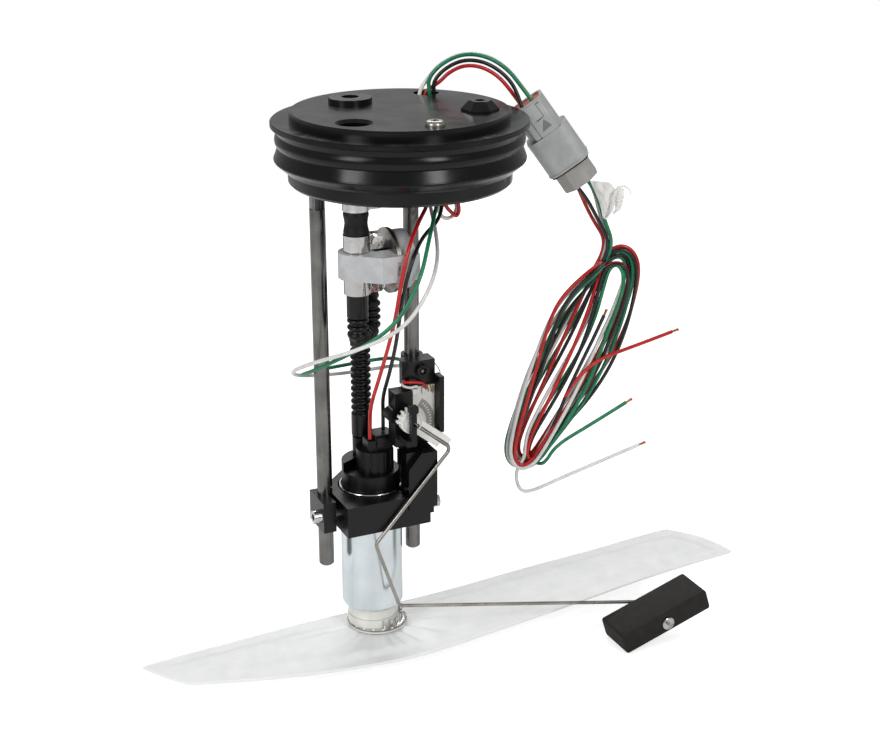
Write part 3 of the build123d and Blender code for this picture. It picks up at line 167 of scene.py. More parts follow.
def relief(tree, shader, height, depth_mm, strength):
    """Raise the surface by a texture height over depth_mm."""
    bump = add_node(tree, "ShaderNodeBump", Height=height, Distance=mm(depth_mm), Strength=strength)
    tree.links.new(bump.outputs[0], shader.inputs["Normal"])


def surfaced(name, colours, shine, cloud_mm, fine, depth, strength, **values):
    """Clouded colour, uneven shine and a fine relief: fine is its grain, values are plain shader inputs."""
    material, tree, shader, place = new_material(name)
    cloud = grain(tree, place, cloud_mm)
    tree.links.new(tint(tree, cloud, *colours), shader.inputs["Base Color"])
    tree.links.new(spread(tree, cloud, *shine), shader.inputs["Roughness"])
    for key, value in values.items():
        shader.inputs[key.replace("_", " ")].default_value = value
    relief(tree, shader, grain(tree, place, **fine), depth, strength)
    return material


def anodised_aluminium(name, dark, light, rough, grit_mm=0.7):
    """Machined aluminium, dyed and anodised: an even sheen, with faint clouding of the dye."""
    return surfaced(name, (dark, light), (rough - 0.05, rough + 0.06), 14.0,
                    {"size_mm": grit_mm, "detail": 2.0}, 0.008, 0.25, Specular_IOR_Level=0.35)


def bare_metal(name, dark, light, rough, streak_mm, stretch=(1, 1, 1)):
    """Bare or plated metal: streaks left by turning, drawing or rolling."""
    material, tree, shader, place = new_material(name)
    streak = grain(tree, place, streak_mm, detail=4.0, stretch=stretch)
    cloud = grain(tree, place, 18.0)
    tree.links.new(tint(tree, cloud, dark, light), shader.inputs["Base Color"])
    tree.links.new(spread(tree, streak, rough - 0.06, rough + 0.08), shader.inputs["Roughness"])
    shader.inputs["Metallic"].default_value = 1.0
    relief(tree, shader, streak, 0.012, 0.4)
    return material


def moulded(name, dark, light, rough, texture_mm=0.5, depth=0.015, cloud_mm=9.0, specular=0.5):
    """Moulded plastic or rubber: a fine spark-eroded texture and slightly uneven shine."""
    return surfaced(name, (dark, light), (rough - 0.05, rough + 0.07), cloud_mm,
                    {"size_mm": texture_mm, "detail": 2.0}, depth, 0.4, Specular_IOR_Level=specular)


def closed_cell_foam(name):
    """Nitrile foam, cut and skinned: a dull brown-black surface with tiny open cells."""
    material, tree, shader, place = new_material(name)
    cells = output_of(tree, "ShaderNodeTexVoronoi", Vector=place, Scale=1.0 / mm(0.9))
    cloud = grain(tree, place, 6.0)
    tree.links.new(tint(tree, cloud, "#141211", "#221e1b"), shader.inputs["Base Color"])
    shader.inputs["Roughness"].default_value = 0.72
    shader.inputs["Specular IOR Level"].default_value = 0.35
    relief(tree, shader, cells, 0.12, 0.45)
    return material


def nonwoven_felt(name):
    """Melt-blown polyester felt: soft white fibres, a faint print of the rollers, and a slight sheen."""
    material, tree, shader, place = new_material(name)
    fibres = grain(tree, place, 1.1, detail=6.0, rough=0.7, stretch=(0.35, 1.0, 1.0))
    cloud = grain(tree, place, 11.0, detail=4.0)
    tree.links.new(tint(tree, cloud, "#eff1f0", "#f8f9f8"), shader.inputs["Base Color"])
    shader.inputs["Roughness"].default_value = 0.62
    shader.inputs["Sheen Weight"].default_value = 0.15
    relief(tree, shader, maths(tree, "ADD", fibres, cloud), 0.16, 0.4)
    return material


def extruded_insulation(name, dark, light):
    """Extruded PVC insulation: a smooth, slightly waxy gloss with faint handling marks."""
    return surfaced(name, (dark, light), (0.28, 0.42), 7.0, {"size_mm": 1.4}, 0.03, 0.3, Coat_Weight=0.15)


# The record's finishes by the slot's name, then own surfaces of single pieces
finishes = {
    "lid_black": anodised_aluminium("black_anodised_aluminium_turned", "#070708", "#0c0c0e", 0.20),
    "black_anodised": anodised_aluminium("black_anodised_aluminium_milled", "#060607", "#0c0c0d", 0.28),
    "clear_aluminium": bare_metal("clear_anodised_aluminium_milled", "#b6b7b8", "#cbcccd", 0.34, 1.2),
    "seal_rubber": moulded("nitrile_rubber_moulded", "#040404", "#080809", 0.20, 0.9, 0.006, 16.0, 0.3),
    "hose_rubber": moulded("nitrile_rubber_extruded", "#080808", "#101011", 0.42, 0.5, 0.015, 9.0, 0.3),
    "steel": bare_metal("stainless_steel_centreless_ground", "#8f8a84", "#b3afa9", 0.30, 0.8, (1, 1, 0.05)),
    "zinc_can": bare_metal("zinc_plated_steel_drawn", "#dbe4e8", "#ebf2f5", 0.20, 1.6, (1, 1, 0.04)),
    "bright_steel": bare_metal("stainless_steel_polished", "#b9b8b6", "#d6d5d3", 0.16, 2.0),
    "black_plastic": moulded("acetal_moulded_black", "#070708", "#0f0f10", 0.34, 0.5, 0.015, 9.0, 0.3),
    "white_plastic": moulded("acetal_moulded_natural", "#dddcd6", "#eeede9", 0.38),
    "grey_plastic": moulded("nylon_moulded_grey", "#a9acab", "#babdbc", 0.38, 0.6, 0.02),
    "orange_plastic": moulded("nylon_moulded_orange", "#b8431d", "#cf5a2b", 0.36),
    "nylon_hose": moulded("nylon_corrugated_black", "#060607", "#0d0d0e", 0.30, 0.8, 0.02, 9.0, 0.35),
    "ceramic": moulded("alumina_ceramic_fired", "#e4e1db", "#f0eeea", 0.42),
    "copper": bare_metal("copper_strand_bare", "#b06a45", "#d3906a", 0.34, 0.6),
    "magnet": moulded("ferrite_sintered", "#2a2a2b", "#39393a", 0.55),
    "carbon": moulded("carbon_pressed", "#151515", "#222222", 0.6),
    "foam": closed_cell_foam("nitrile_foam_skinned"),
    "felt": nonwoven_felt("polyester_felt_meltblown"),
    "tape": moulded("paper_tape_crumpled", "#f1f0ec", "#fbfaf6", 0.6, 0.8, 0.05, 4.0, 0.3),
    "red_insulation": extruded_insulation("pvc_extruded_red", "#b30f10", "#d2211c"),
    "black_insulation": extruded_insulation("pvc_extruded_black", "#0d0d0e", "#1b1b1c"),
    "green_insulation": extruded_insulation("pvc_extruded_green", "#0c6b45", "#158a60"),
    "white_insulation": extruded_insulation("pvc_extruded_white", "#d9d9d6", "#efefec"),
    "aluminium_satin": anodised_aluminium("clear_anodised_aluminium_turned", "#b4b5b7", "#cbccce", 0.28, 0.5),
    "felt_hem": moulded("polyester_felt_welded", "#f7f8f8", "#ffffff", 0.45, 1.1, 0.05),
    # painted shade: a darker grey for the connector's arrow mark
    "grey_painted_shade": moulded("nylon_moulded_grey_painted_shade", "#777a7a", "#858888", 0.5, 0.6, 0.02),
    "plug_taupe": moulded("nylon_moulded_taupe", "#a19f9a", "#b0aea9", 0.42, 0.6, 0.02),
    "rod_steel": bare_metal("stainless_steel_drawn_dull", "#696866", "#8b8a87", 0.26, 0.8, (1, 1, 0.03)),
    "terminal_brass": bare_metal("brass_drawn_tinned", "#b89a5c", "#d8c088", 0.3, 0.6),
    "track_ink": moulded("resistor_ink_printed", "#96928b", "#aaa69e", 0.5, 0.4, 0.01),
}


def dress(piece, slot_name, body="module"):
    """Give a new piece the finish of a slot, and its body."""
    piece.data.materials.clear()
    piece.data.materials.append(finishes[slot_name])
    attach(piece, body)
    return piece


# Nodes whose own surface differs a little from their slot's other nodes
own_finishes = {"regulator_cup": "aluminium_satin", "regulator_body": "aluminium_satin",
                "regulator_capsule": "steel", "rod_left": "rod_steel", "rod_right": "rod_steel"}

for entry in frame["record"]["subparts"]:
    node = nodes[entry["node"]]
    for place in node.material_slots:
        place.material = finishes[own_finishes.get(entry["node"], entry["material_slot"])]


# Mesh helpers


def mesh_piece(name, work):
    """A finished bmesh as an object at the origin."""
    bmesh.ops.recalc_face_normals(work, faces=work.faces)
    mesh = bpy.data.meshes.new(name)
    work.to_mesh(mesh)
    work.free()
    return scene_object(name, mesh)


def shade_smooth(piece, limit=35.0):
    """Smooth shading with sharp edges past a limit in degrees."""
    for face in piece.data.polygons:
        face.use_smooth = True
    piece.data.set_sharp_from_angle(angle=math.radians(limit))
    return piece


def skin_rings(work, rings):
    """Join rings of points, each with the same number of points, into a tube with closed ends."""
    rows = [[work.verts.new(point) for point in ring] for ring in rings]
    count = len(rows[0])
    for low, high in zip(rows, rows[1:]):
        for k in range(count):
            work.faces.new((low[k], low[(k + 1) % count], high[(k + 1) % count], high[k]))
    work.faces.new(rows[0][::-1])
    work.faces.new(rows[-1])


def sheet_of(work, ends, sides, place, winding=1):
    """A grid of vertices, each put by place(row, column), with its faces."""
    rows = [[work.verts.new(place(i, j)) for j in range(sides + 1)] for i in range(ends + 1)]
    for i in range(ends):
        for j in range(sides):
            corners = (rows[i][j], rows[i + 1][j], rows[i + 1][j + 1], rows[i][j + 1])
            work.faces.new(corners[::winding])
    return rows


def seal_sheets(work, top, low):
    """Close the gap between two sheets of vertices along their rim, and give the rim's places in them."""
    ends, sides = len(top) - 1, len(top[0]) - 1
    rim = [(i, 0) for i in range(ends)] + [(ends, j) for j in range(sides)]
    rim += [(i, sides) for i in range(ends, 0, -1)] + [(0, j) for j in range(sides, 0, -1)]
    for (i, j), (m, n) in zip(rim, rim[1:] + rim[:1]):
        work.faces.new((top[i][j], low[i][j], low[m][n], top[m][n]))
    return rim


def curve_object(name, kind, points, radius, roundness):
    """A curve of one spline with a round section and closed ends, all in metres."""
    curve = bpy.data.curves.new(name, "CURVE")
    curve.dimensions = "3D"
    spline = curve.splines.new(kind)
    spline.points.add(len(points) - 1)
    for target, point in zip(spline.points, points):
        target.co = (*point, 1.0)
    curve.bevel_depth = radius
    curve.bevel_resolution = roundness
    curve.use_fill_caps = True
    return scene_object(name, curve), spline


def spline_object(name, points, radius):
    """A round cord on a smooth spline with the given control points, in metres."""
    piece, spline = curve_object(name, "NURBS", points, radius, 4)
    spline.order_u = 3
    spline.use_endpoint_u = True
    spline.resolution_u = 8
    return piece


def spline_line(points, resolution=24):
    """The smooth line of a spline with those control points, as a list of points."""
    piece = spline_object("line", points, 0.0)
    piece.data.resolution_u = resolution
    piece.data.splines[0].resolution_u = resolution
    piece.data.use_fill_caps = False
    mesh = made_mesh(piece)
    line = [vertex.co.copy() for vertex in mesh.vertices]
    bpy.data.objects.remove(piece)
    bpy.data.meshes.remove(mesh)
    return line


def line_length(line):
    return sum((b - a).length for a, b in zip(line, line[1:]))


def even_points(line, count):
    """Points at equal steps along a line."""
    total, travelled, k, points = line_length(line), 0.0, 0, []
    for index in range(count + 1):
        goal = total * index / count
        while k < len(line) - 2 and travelled + (line[k + 1] - line[k]).length < goal:
            travelled += (line[k + 1] - line[k]).length
            k += 1
        span = (line[k + 1] - line[k]).length
        points.append(line[k].lerp(line[k + 1], min(1.0, (goal - travelled) / span)))
    return points


def turned_matrix(origin, level, rise):
    """A matrix at origin whose X is level, whose Y is rise, and whose Z is square to both."""
    out = level.cross(rise)
    return Matrix.Translation(origin) @ Matrix((level, rise, out)).transposed().to_4x4()


unmoved = Matrix.Identity(4)
facing_front = Matrix(((1, 0, 0), (0, 0, -1), (0, 1, 0))).to_4x4()


def lathed(name, profile, place, around=64, limit=30.0):
    """A turned piece: its closed profile of (radius, height) in millimetres, spun round the place's Z."""
    work = bmesh.new()
    rows = []
    for k in range(around):
        angle = 2 * math.pi * k / around
        ring = [place @ at(r * math.cos(angle), r * math.sin(angle), h) for r, h in profile]
        rows.append([work.verts.new(point) for point in ring])
    count = len(profile)
    for k in range(around):
        here, ahead = rows[k], rows[(k + 1) % around]
        for m in range(count):
            n = (m + 1) % count
            work.faces.new((here[m], ahead[m], ahead[n], here[n]))
    bmesh.ops.remove_doubles(work, verts=work.verts, dist=1e-7)
    return shade_smooth(mesh_piece(name, work), limit)


def rounded_piece(name, work, place, rounding, segments):
    """Round a bmesh's edges, put it by a matrix and finish it."""
    bmesh.ops.bevel(work, geom=list(work.edges), offset=mm(rounding), segments=segments, profile=0.5,
                    affect="EDGES")
    bmesh.ops.transform(work, matrix=place, verts=work.verts)
    return shade_smooth(mesh_piece(name, work), 40.0)


def prism(name, outline, low, high, place, rounding):
    """A flat outline in millimetres, raised from low to high, with its edges rounded."""
    work = bmesh.new()
    face = work.faces.new([work.verts.new(at(x, y, low)) for x, y in outline])
    raised = bmesh.ops.extrude_face_region(work, geom=[face])["geom"]
    corners = [part for part in raised if isinstance(part, bmesh.types.BMVert)]
    bmesh.ops.translate(work, vec=(0, 0, mm(high - low)), verts=corners)
    return rounded_piece(name, work, place, rounding, 3)


def bead(name, points, radius, closed=False):
    """A thin round line through the given places in metres, as a mesh: a dark line of painted shade in a
    groove or gap, a rib or a fine wire.
    """
    draft, spline = curve_object(name, "POLY", points, mm(radius), 3)
    spline.use_cyclic_u = closed
    draft.data.use_fill_caps = not closed
    mesh = made_mesh(draft)
    bpy.data.objects.remove(draft)
    return shade_smooth(scene_object(name, mesh), 50.0)


def smooth_wire(name, corners, radius):
    """A fine wire through smooth bends, as a mesh."""
    return bead(name, spline_line([at(*corner) for corner in corners], 8), radius)


def grown_tree(name, sizes):
    """An empty Geometry Nodes tree whose inputs are the named sizes, in the given order."""
    tree = bpy.data.node_groups.new(name, "GeometryNodeTree")
    tree.interface.new_socket("Geometry", in_out="INPUT", socket_type="NodeSocketGeometry")
    for label, value in sizes.items():
        kind = "NodeSocketInt" if isinstance(value, int) else "NodeSocketFloat"
        tree.interface.new_socket(label, in_out="INPUT", socket_type=kind)
    tree.interface.new_socket("Geometry", in_out="OUTPUT", socket_type="NodeSocketGeometry")
    return tree, add_node(tree, "NodeGroupInput").outputs


def end_tree(tree, geometry, slot_name):
    """Close a tree with real geometry in the finish's material."""
    real = output_of(tree, "GeometryNodeRealizeInstances", Geometry=geometry)
    finished = output_of(tree, "GeometryNodeSetMaterial", Geometry=real, Material=finishes[slot_name])
    add_node(tree, "NodeGroupOutput", Geometry=finished)


def end_with_copies(tree, size, spot, slot_name, **turned):
    """Close a tree with copies of the source shape, one at each spot."""
    points = output_of(tree, "GeometryNodePoints", Count=size["Count"], Position=spot)
    copies = output_of(tree, "GeometryNodeInstanceOnPoints", Points=points, Instance=size["Geometry"],
                       **turned)
    end_tree(tree, copies, slot_name)


def grow(name, source, tree, sizes, slot_name, body="module", place=None):
    """Run a tree on a source object and keep its result as one plain mesh, put by a matrix."""
    modifier = source.modifiers.new("grow", "NODES")
    modifier.node_group = tree
    for item in tree.interface.items_tree:
        if item.in_out == "INPUT" and item.name in sizes:
            modifier[item.identifier] = sizes[item.name]
    mesh = made_mesh(source)
    mesh.name = name
    source.modifiers.clear()
    bpy.data.objects.remove(source)
    if place is not None:
        mesh.transform(place)
    return dress(shade_smooth(scene_object(name, mesh), 50.0), slot_name, body)


def ring_of(name, shape, count, radius, first, sweep, slot_name, place, body="module"):
    """Copies of a small shape on an arc about Z, each facing outwards; angles in degrees."""
    sizes = {"Count": count, "Radius": mm(radius),
             "First angle": math.radians(first), "Sweep": math.radians(sweep)}
    tree, size = grown_tree("ring_of_shapes", sizes)
    share = maths(tree, "DIVIDE", output_of(tree, "GeometryNodeInputIndex"), size["Count"])
    angle = maths(tree, "ADD", size["First angle"], maths(tree, "MULTIPLY", share, size["Sweep"]))
    level = maths(tree, "MULTIPLY", size["Radius"], maths(tree, "COSINE", angle))
    rise = maths(tree, "MULTIPLY", size["Radius"], maths(tree, "SINE", angle))
    spot = output_of(tree, "ShaderNodeCombineXYZ", X=level, Y=rise)
    turn = output_of(tree, "ShaderNodeCombineXYZ", Z=angle)
    end_with_copies(tree, size, spot, slot_name, Rotation=turn)
    return grow(name, shape, tree, sizes, slot_name, body, place)


def row_of(name, shape, count, pitch, slot_name, place, body="module"):
    """Copies of a small shape in a straight row along X."""
    sizes = {"Count": count, "Pitch": mm(pitch)}
    tree, size = grown_tree("row_of_shapes", sizes)
    along = maths(tree, "MULTIPLY", output_of(tree, "GeometryNodeInputIndex"), size["Pitch"])
    end_with_copies(tree, size, output_of(tree, "ShaderNodeCombineXYZ", X=along), slot_name)
    return grow(name, shape, tree, sizes, slot_name, body, place)


def bevelled_box(name, size, place, rounding, segments=4):
    """A box with rounded edges, turned and put by a matrix."""
    work = bmesh.new()
    bmesh.ops.create_cube(work, size=1.0)
    bmesh.ops.scale(work, vec=[mm(s) for s in size], verts=work.verts)
    return rounded_piece(name, work, place, rounding, segments)


# Leads: connector, hank and tank places, as in the part's source
lead_radius = 1.2
harness_turn = math.radians(-24.76)
plug_lean = math.radians(35.6)
plug_centre = Vector((115.6, 3.0, -10.5))
side = Vector((math.cos(harness_turn), math.sin(harness_turn), 0))
toward = Vector((side.y, -side.x, 0))
down_axis = side * math.sin(plug_lean) + Vector((0, 0, -math.cos(plug_lean)))
plug_across = toward.cross(down_axis)
plug_depth = down_axis.cross(plug_across)
wedge_top = -46.3
tail_length = 14.0
plug_pins = {"red": (-3.7, -3.5), "black": (-3.7, 3.5), "white": (3.7, -3.5), "green": (3.7, 3.5)}
hank_top = Vector((138.2, -7.5, -66.0))
hank_foot = Vector((88.5, 15.4, -215.5))
hank_down = (hank_foot - hank_top).normalized()
hank_right = toward.cross(hank_down)
hank_length = (hank_foot - hank_top).length
hank_thickness = 12.0
wire_hole = (34.0, 38.4)
hole_places = {"white": (-4.6, 1.8), "red": (-1.4, 1.8), "green": (1.7, -1.8), "black": (4.7, -1.8)}
turret_top = -176.0
pump_plug_top = turret_top + 10.4
block_back = 8.1
lead_gap = 0.6


def pin_point(colour, along):
    across, depth = plug_pins[colour]
    return plug_centre + down_axis * along + plug_across * across + plug_depth * depth


def through_lid(colour, z):
    return Vector((wire_hole[0] + hole_places[colour][0], wire_hole[1] + hole_places[colour][1], z))


# Points along the arch over the lid, each with its outward direction as (level, rise)
arch_line = (
    (87.0, 16.6, 36.5, 0.95, 0.30),
    (79.0, 20.2, 47.5, 0.75, 0.66),
    (67.5, 25.2, 55.0, 0.35, 0.94),
    (55.0, 30.6, 56.3, -0.15, 0.99),
    (43.5, 35.0, 50.5, -0.65, 0.76),
    (36.8, 38.0, 42.0, -0.93, 0.36),
)
# How far outward and forward each lead runs on the arch
arch_places = {"red": (-5.4, 0.4), "black": (-1.8, 1.8), "green": (1.8, 1.8), "white": (1.8, -1.8)}
lid_passage = (34.5, 12.0)


def over_arch(outward, forward):
    points = []
    for x, y, z, level, rise in arch_line:
        points.append(Vector((x, y, z + rise * outward)) + side * (level * outward) + toward * forward)
    return points


# From under the lid to each lead's end in the tank
tank_routes = {
    "red": [
        (30.5, 33.0, 1.0), (24.0, 11.0, -12.0), (12.5, -13.0, -20.5), (-5.0, -36.0, -25.5),
        (-17.1, -49.5, -36.0), (-22.4, -51.0, -56.0), (-23.8, -46.0, -77.9), (-25.2, -37.0, -99.4),
        (-26.6, -26.0, -122.0), (-27.6, -14.5, -143.0), (-24.9, -6.6, -158.5),
        (-24.7, -6.0, pump_plug_top - 2.6),
    ],
    "black": [
        (39.5, 31.0, -1.0), (33.0, 12.0, -20.0), (21.0, -12.0, -31.0), (2.0, -28.5, -35.5),
        (-12.3, -48.9, -38.3), (-18.3, -51.6, -51.0), (-20.3, -48.5, -65.0), (-20.2, -43.0, -81.0),
        (-19.6, -36.0, -98.3), (-20.1, -27.0, -119.0), (-19.0, -13.5, -138.0), (-15.2, -4.6, -153.0),
        (-14.8, -3.4, pump_plug_top + lead_gap),
    ],
    "green": [
        (36.0, 29.0, 2.0), (29.0, 4.0, -12.0), (13.5, -22.0, -19.5), (-1.5, -44.0, -33.8),
        (-12.4, -56.0, -53.6), (-28.4, -58.0, -77.8), (-50.0, -47.0, -94.0), (-66.0, -25.0, -109.8),
        (-68.5, 0.0, -122.5), (-54.0, 21.0, -128.5), (-29.0, 29.0, -131.0), (-8.0, 27.0, -129.5),
        (3.0, 18.5, -127.0), (4.4, block_back + lead_gap, -126.0),
    ],
    "white": [
        (27.0, 35.0, -1.0), (24.5, 14.0, -26.0), (15.0, -18.0, -38.0), (3.5, -46.0, -46.8),
        (-9.6, -60.0, -61.0), (-27.0, -63.0, -79.5), (-51.5, -52.5, -91.5), (-69.5, -29.5, -103.5),
        (-73.5, -2.0, -117.5), (-62.0, 20.5, -130.0), (-34.0, 32.5, -137.5), (-9.5, 30.0, -137.0),
        (4.5, 19.5, -132.5), (8.4, block_back + lead_gap, -130.5),
    ],
}


def make_tank_leads():
    """The four leads, each from its end in the tank, through the lid and over to the connector."""
    for colour, tank_route in tank_routes.items():
        route = [pin_point(colour, wedge_top - lead_gap), *over_arch(*arch_places[colour]),
                 *(through_lid(colour, z) for z in lid_passage), *tank_route]
        points = [at(*point) for point in reversed(route)]
        lead = spline_object(f"tank_lead_{colour}", points, mm(lead_radius))
        dress(lead, f"{colour}_insulation")
        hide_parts(f"lead_{colour}")


# Hank: the four leads were wound together in four loose loops, each with its own size, lean and layer.
# Each loop: down the left, round the foot, up the right and round the top, as (along, across) from the top.
hank_loops = (
    (
        (21.8, -0.6), (43.3, -8.5), (73.0, -12.1), (103.0, -13.0), (132.6, -11.4), (149.7, -9.4),
        (159.1, -3.6), (159.3, 6.0), (144.3, 13.1), (121.5, 19.0), (96.2, 26.0), (69.8, 30.0),
        (42.7, 30.4), (18.8, 27.2), (3.3, 22.9), (-4.4, 14.9), (-2.9, 5.2),
    ),
    (
        (11.7, 1.6), (29.7, 0.6), (52.8, -0.9), (79.8, -3.3), (107.5, -5.4), (133.9, -6.2), (148.3, -4.6),
        (156.3, 1.6), (152.0, 9.6), (133.8, 13.5), (109.3, 17.0), (83.6, 21.6), (58.3, 24.0),
        (33.3, 22.8), (13.9, 21.0), (2.2, 17.0), (0.4, 8.6),
    ),
    (
        (14.0, -2.0), (28.7, -9.4), (43.2, -14.1), (60.0, -14.4), (82.9, -13.1), (110.0, -11.7),
        (135.7, -9.5), (151.4, -6.3), (158.7, 1.4), (153.0, 9.5), (133.3, 13.7), (105.7, 18.4), (79.3, 21.2),
        (53.9, 21.1), (30.9, 21.6), (12.8, 19.5), (3.6, 11.9),
    ),
    (
        (9.5, 4.3), (25.1, 5.6), (44.0, 7.6), (66.8, 7.6), (90.1, 5.4), (114.5, 2.6), (136.2, 0.4),
        (150.8, 3.0), (152.4, 12.5), (141.1, 17.1),
    ),
)
loop_layers = (-1.8, -5.2, 4.6, 1.6)
strand_phases = {"red": 0.2, "black": 1.75, "green": 3.3, "white": 4.9}
strand_twist = 0.019
strand_depth = 1.8
strand_reach = 1.9
mid_run_reach = 1.7
tail_straight = 8.0
tail_share = 0.55
hank_entry = -2.9
hank_ends = {"red": (1.4, -1.6), "black": (3.4, 2.2), "green": (5.4, 2.2), "white": (2.4, 0.4)}
# How far each lead leans aside below the plug, so that all are seen
tail_fan = {"red": -1.9, "black": 1.0, "green": 0.6, "white": 0.0}
last_kept = {"red": 10, "black": 9, "green": 9, "white": 7}
last_runs = {
    "red": ((127.0, 14.0, 3.0), (108.0, 12.0, 5.0), (92.0, 11.6, 7.0)),
    "black": ((120.0, 12.5, 4.0), (96.0, 11.6, 6.5), (70.0, 12.6, 7.5), (52.7, 13.6, 7.8), (39.0, 13.9, 8.0)),
    "green": ((149.0, 16.5, 6.0),),
    "white": ((149.0, 3.2, 3.0), (162.0, 0.2, 5.5)),
}
end_routes = {
    "red": [(134.0, -5.5, -138.0), (155.0, -15.5, -129.0), (178.0, -26.0, -118.5)],
    "green": [(112.0, 4.7, -198.0), (132.0, -4.6, -183.5), (153.1, -14.3, -167.4)],
    "white": [(90.5, 14.4, -231.0), (98.0, 11.2, -231.5), (115.0, 3.4, -222.0), (138.0, -7.2, -210.0),
              (162.0, -18.4, -197.4)],
    "black": [],
}


def in_hank(along, across, forward):
    return hank_top + hank_down * along + hank_right * across + toward * forward


def hank_turns(colour):
    """Control points of the loops: the leads twist slowly round their common line and fan out mid-run."""
    points, gone = [], 0.0
    for number, (loop, layer) in enumerate(zip(hank_loops, loop_layers)):
        last = number == len(hank_loops) - 1
        kept = loop[:last_kept[colour]] if last else loop
        for k, (along, across) in enumerate(kept):
            ahead = Vector(loop[min(k + 1, len(loop) - 1)])
            behind = Vector(loop[max(k - 1, 0)])
            run = (ahead - behind).normalized()
            gone += (ahead - behind).length / 2
            mid_run = math.sin(math.pi * min(1.0, max(0.0, along / hank_length)))
            angle = strand_phases[colour] + strand_twist * gone
            offset = (strand_reach + mid_run_reach * mid_run ** 1.5) * math.cos(angle)
            depth = layer + strand_depth * math.sin(angle)
            points.append(in_hank(along + run.y * offset, across - run.x * offset, depth))
    points += [in_hank(*place) for place in last_runs[colour]]
    return points


def make_harness():
    """The four harness leads: from the connector's tail, round the hank, and out to a bare end."""
    for colour in ("red", "black", "green", "white"):
        across, forward = hank_ends[colour]
        start = pin_point(colour, tail_length + lead_gap)
        top_end = in_hank(hank_entry, across, forward)
        straight = (top_end - start).normalized()
        apart = side * tail_fan[colour]
        route = [start, start + down_axis * tail_straight + apart, start.lerp(top_end, tail_share) + apart,
                 top_end - straight * 2.0]
        route += hank_turns(colour)
        front = hank_thickness / 2 + lead_radius + 0.3
        route += [Vector(point) + toward * front for point in end_routes[colour]]
        points = [at(*point) for point in route]
        lead = spline_object(f"harness_lead_{colour}", points, mm(lead_radius))
        dress(lead, f"{colour}_insulation")
        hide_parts(f"harness_{colour}")
        if colour == "red":
            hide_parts("hank")
        tip = make_tip(colour, points[-2], points[-1])


def make_tip(colour, before, end):
    """Bare twisted strands at a lead's free end."""
    along = (end - before).normalized()
    level = along.orthogonal().normalized()
    up = along.cross(level)
    work = bmesh.new()
    strands, length, twist, thickness = 7, mm(5.0), 1.6, mm(0.26)
    for strand in range(strands):
        rings = []
        for step in range(9):
            t = step / 8.0
            angle = 2 * math.pi * (strand / (strands - 1) + twist * t / 4)
            spread_out = 0.0 if strand == strands - 1 else mm(0.52 + 0.25 * t * t)
            centre = end + along * (length * t - mm(0.6))
            centre = centre + (level * math.cos(angle) + up * math.sin(angle)) * spread_out
            ring = []
            for k in range(6):
                turn = 2 * math.pi * k / 6
                ring.append(centre + (level * math.cos(turn) + up * math.sin(turn)) * thickness)
            rings.append(ring)
        skin_rings(work, rings)
    return dress(shade_smooth(mesh_piece(f"strand_tip_{colour}", work)), "copper")


# Connector: boot, bezel, face, latch, and thin black lines of painted shade in its grooves and seams
plug_frame = turned_matrix(at(*plug_centre), plug_across, -down_axis)
latch_groove_shade = ((7.1, 45.7), (4.7, 45.6), (4.8, 36.7), (-0.2, 36.1))
arrow_corners = ((3.6, 35.4), (6.1, 29.2), (-0.9, 28.6))
side_groove_shade = ((-3.9, 37.2), (-3.5, 25.6), (-10.6, 26.1))
latch_outline = ((4.7, 45.6), (4.8, 36.7), (-3.6, 36.7), (-3.3, 45.6))
boot_section = (
    (-11.8, -6.5), (-7.8, -11.3), (7.8, -11.3), (11.8, -6.5),
    (11.8, 4.6), (5.4, 11.3), (-5.4, 11.3), (-11.8, 4.6),
)
bezel_section = ((-12.6, -12.1), (12.6, -12.1), (12.6, 12.1), (-12.6, 12.1))


def on_plug(across, up, depth):
    return plug_frame @ at(across, up, depth)


def rounded_loop(half_across, half_depth, corner, up):
    """A rounded rectangle round the connector's axis."""
    points = []
    for turn, (x, z) in enumerate(((1, 1), (-1, 1), (-1, -1), (1, -1))):
        for step in range(7):
            angle = math.radians(90 * turn + 15 * step)
            points.append(on_plug(x * (half_across - corner) + corner * math.cos(angle), up,
                                  z * (half_depth - corner) + corner * math.sin(angle)))
    return points


def make_connector():
    """Moulded details over the two shells; the eight-sided boot stands for the plug's visible end."""
    boot_place = turned_matrix(at(*plug_centre), plug_across, toward)
    boot = dress(prism("plug_boot", boot_section, 1.2, tail_length, boot_place, 0.7), "plug_taupe")
    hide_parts("plug_shell")
    dress(prism("plug_bezel", bezel_section, -21.0, 1.4, boot_place, 3.0), "grey_plastic")
    face_place = plug_frame @ moved(0.6, 36.0, 11.9)
    dress(bevelled_box("socket_face", (16.4, 21.0, 3.2), face_place, 0.9), "grey_plastic")
    dress(prism("latch_tongue", latch_outline, 13.0, 13.9, plug_frame, 0.3), "grey_plastic")
    # The grooves and the gap between the shell and its tail are thin black lines: painted shade, not black
    # plastic.
    dress(bead("latch_groove_shade", [on_plug(x, y, 13.5) for x, y in latch_groove_shade], 0.28), "black_plastic")
    dress(bead("side_groove_shade", [on_plug(x, y, 13.3) for x, y in side_groove_shade], 0.3), "black_plastic")
    # The arrow mark is darker grey than the shell around it: painted shade
    arrow = dress(prism("arrow_mark", arrow_corners, 13.2, 13.75, plug_frame, 0.15), "grey_painted_shade")
    dress(bead("shell_rim", rounded_loop(14.1, 13.1, 7.2, 1.1), 0.55, True), "grey_plastic")
    dress(bead("plug_gap_shade", rounded_loop(12.75, 12.25, 3.4, -0.5), 0.42, True), "black_plastic")


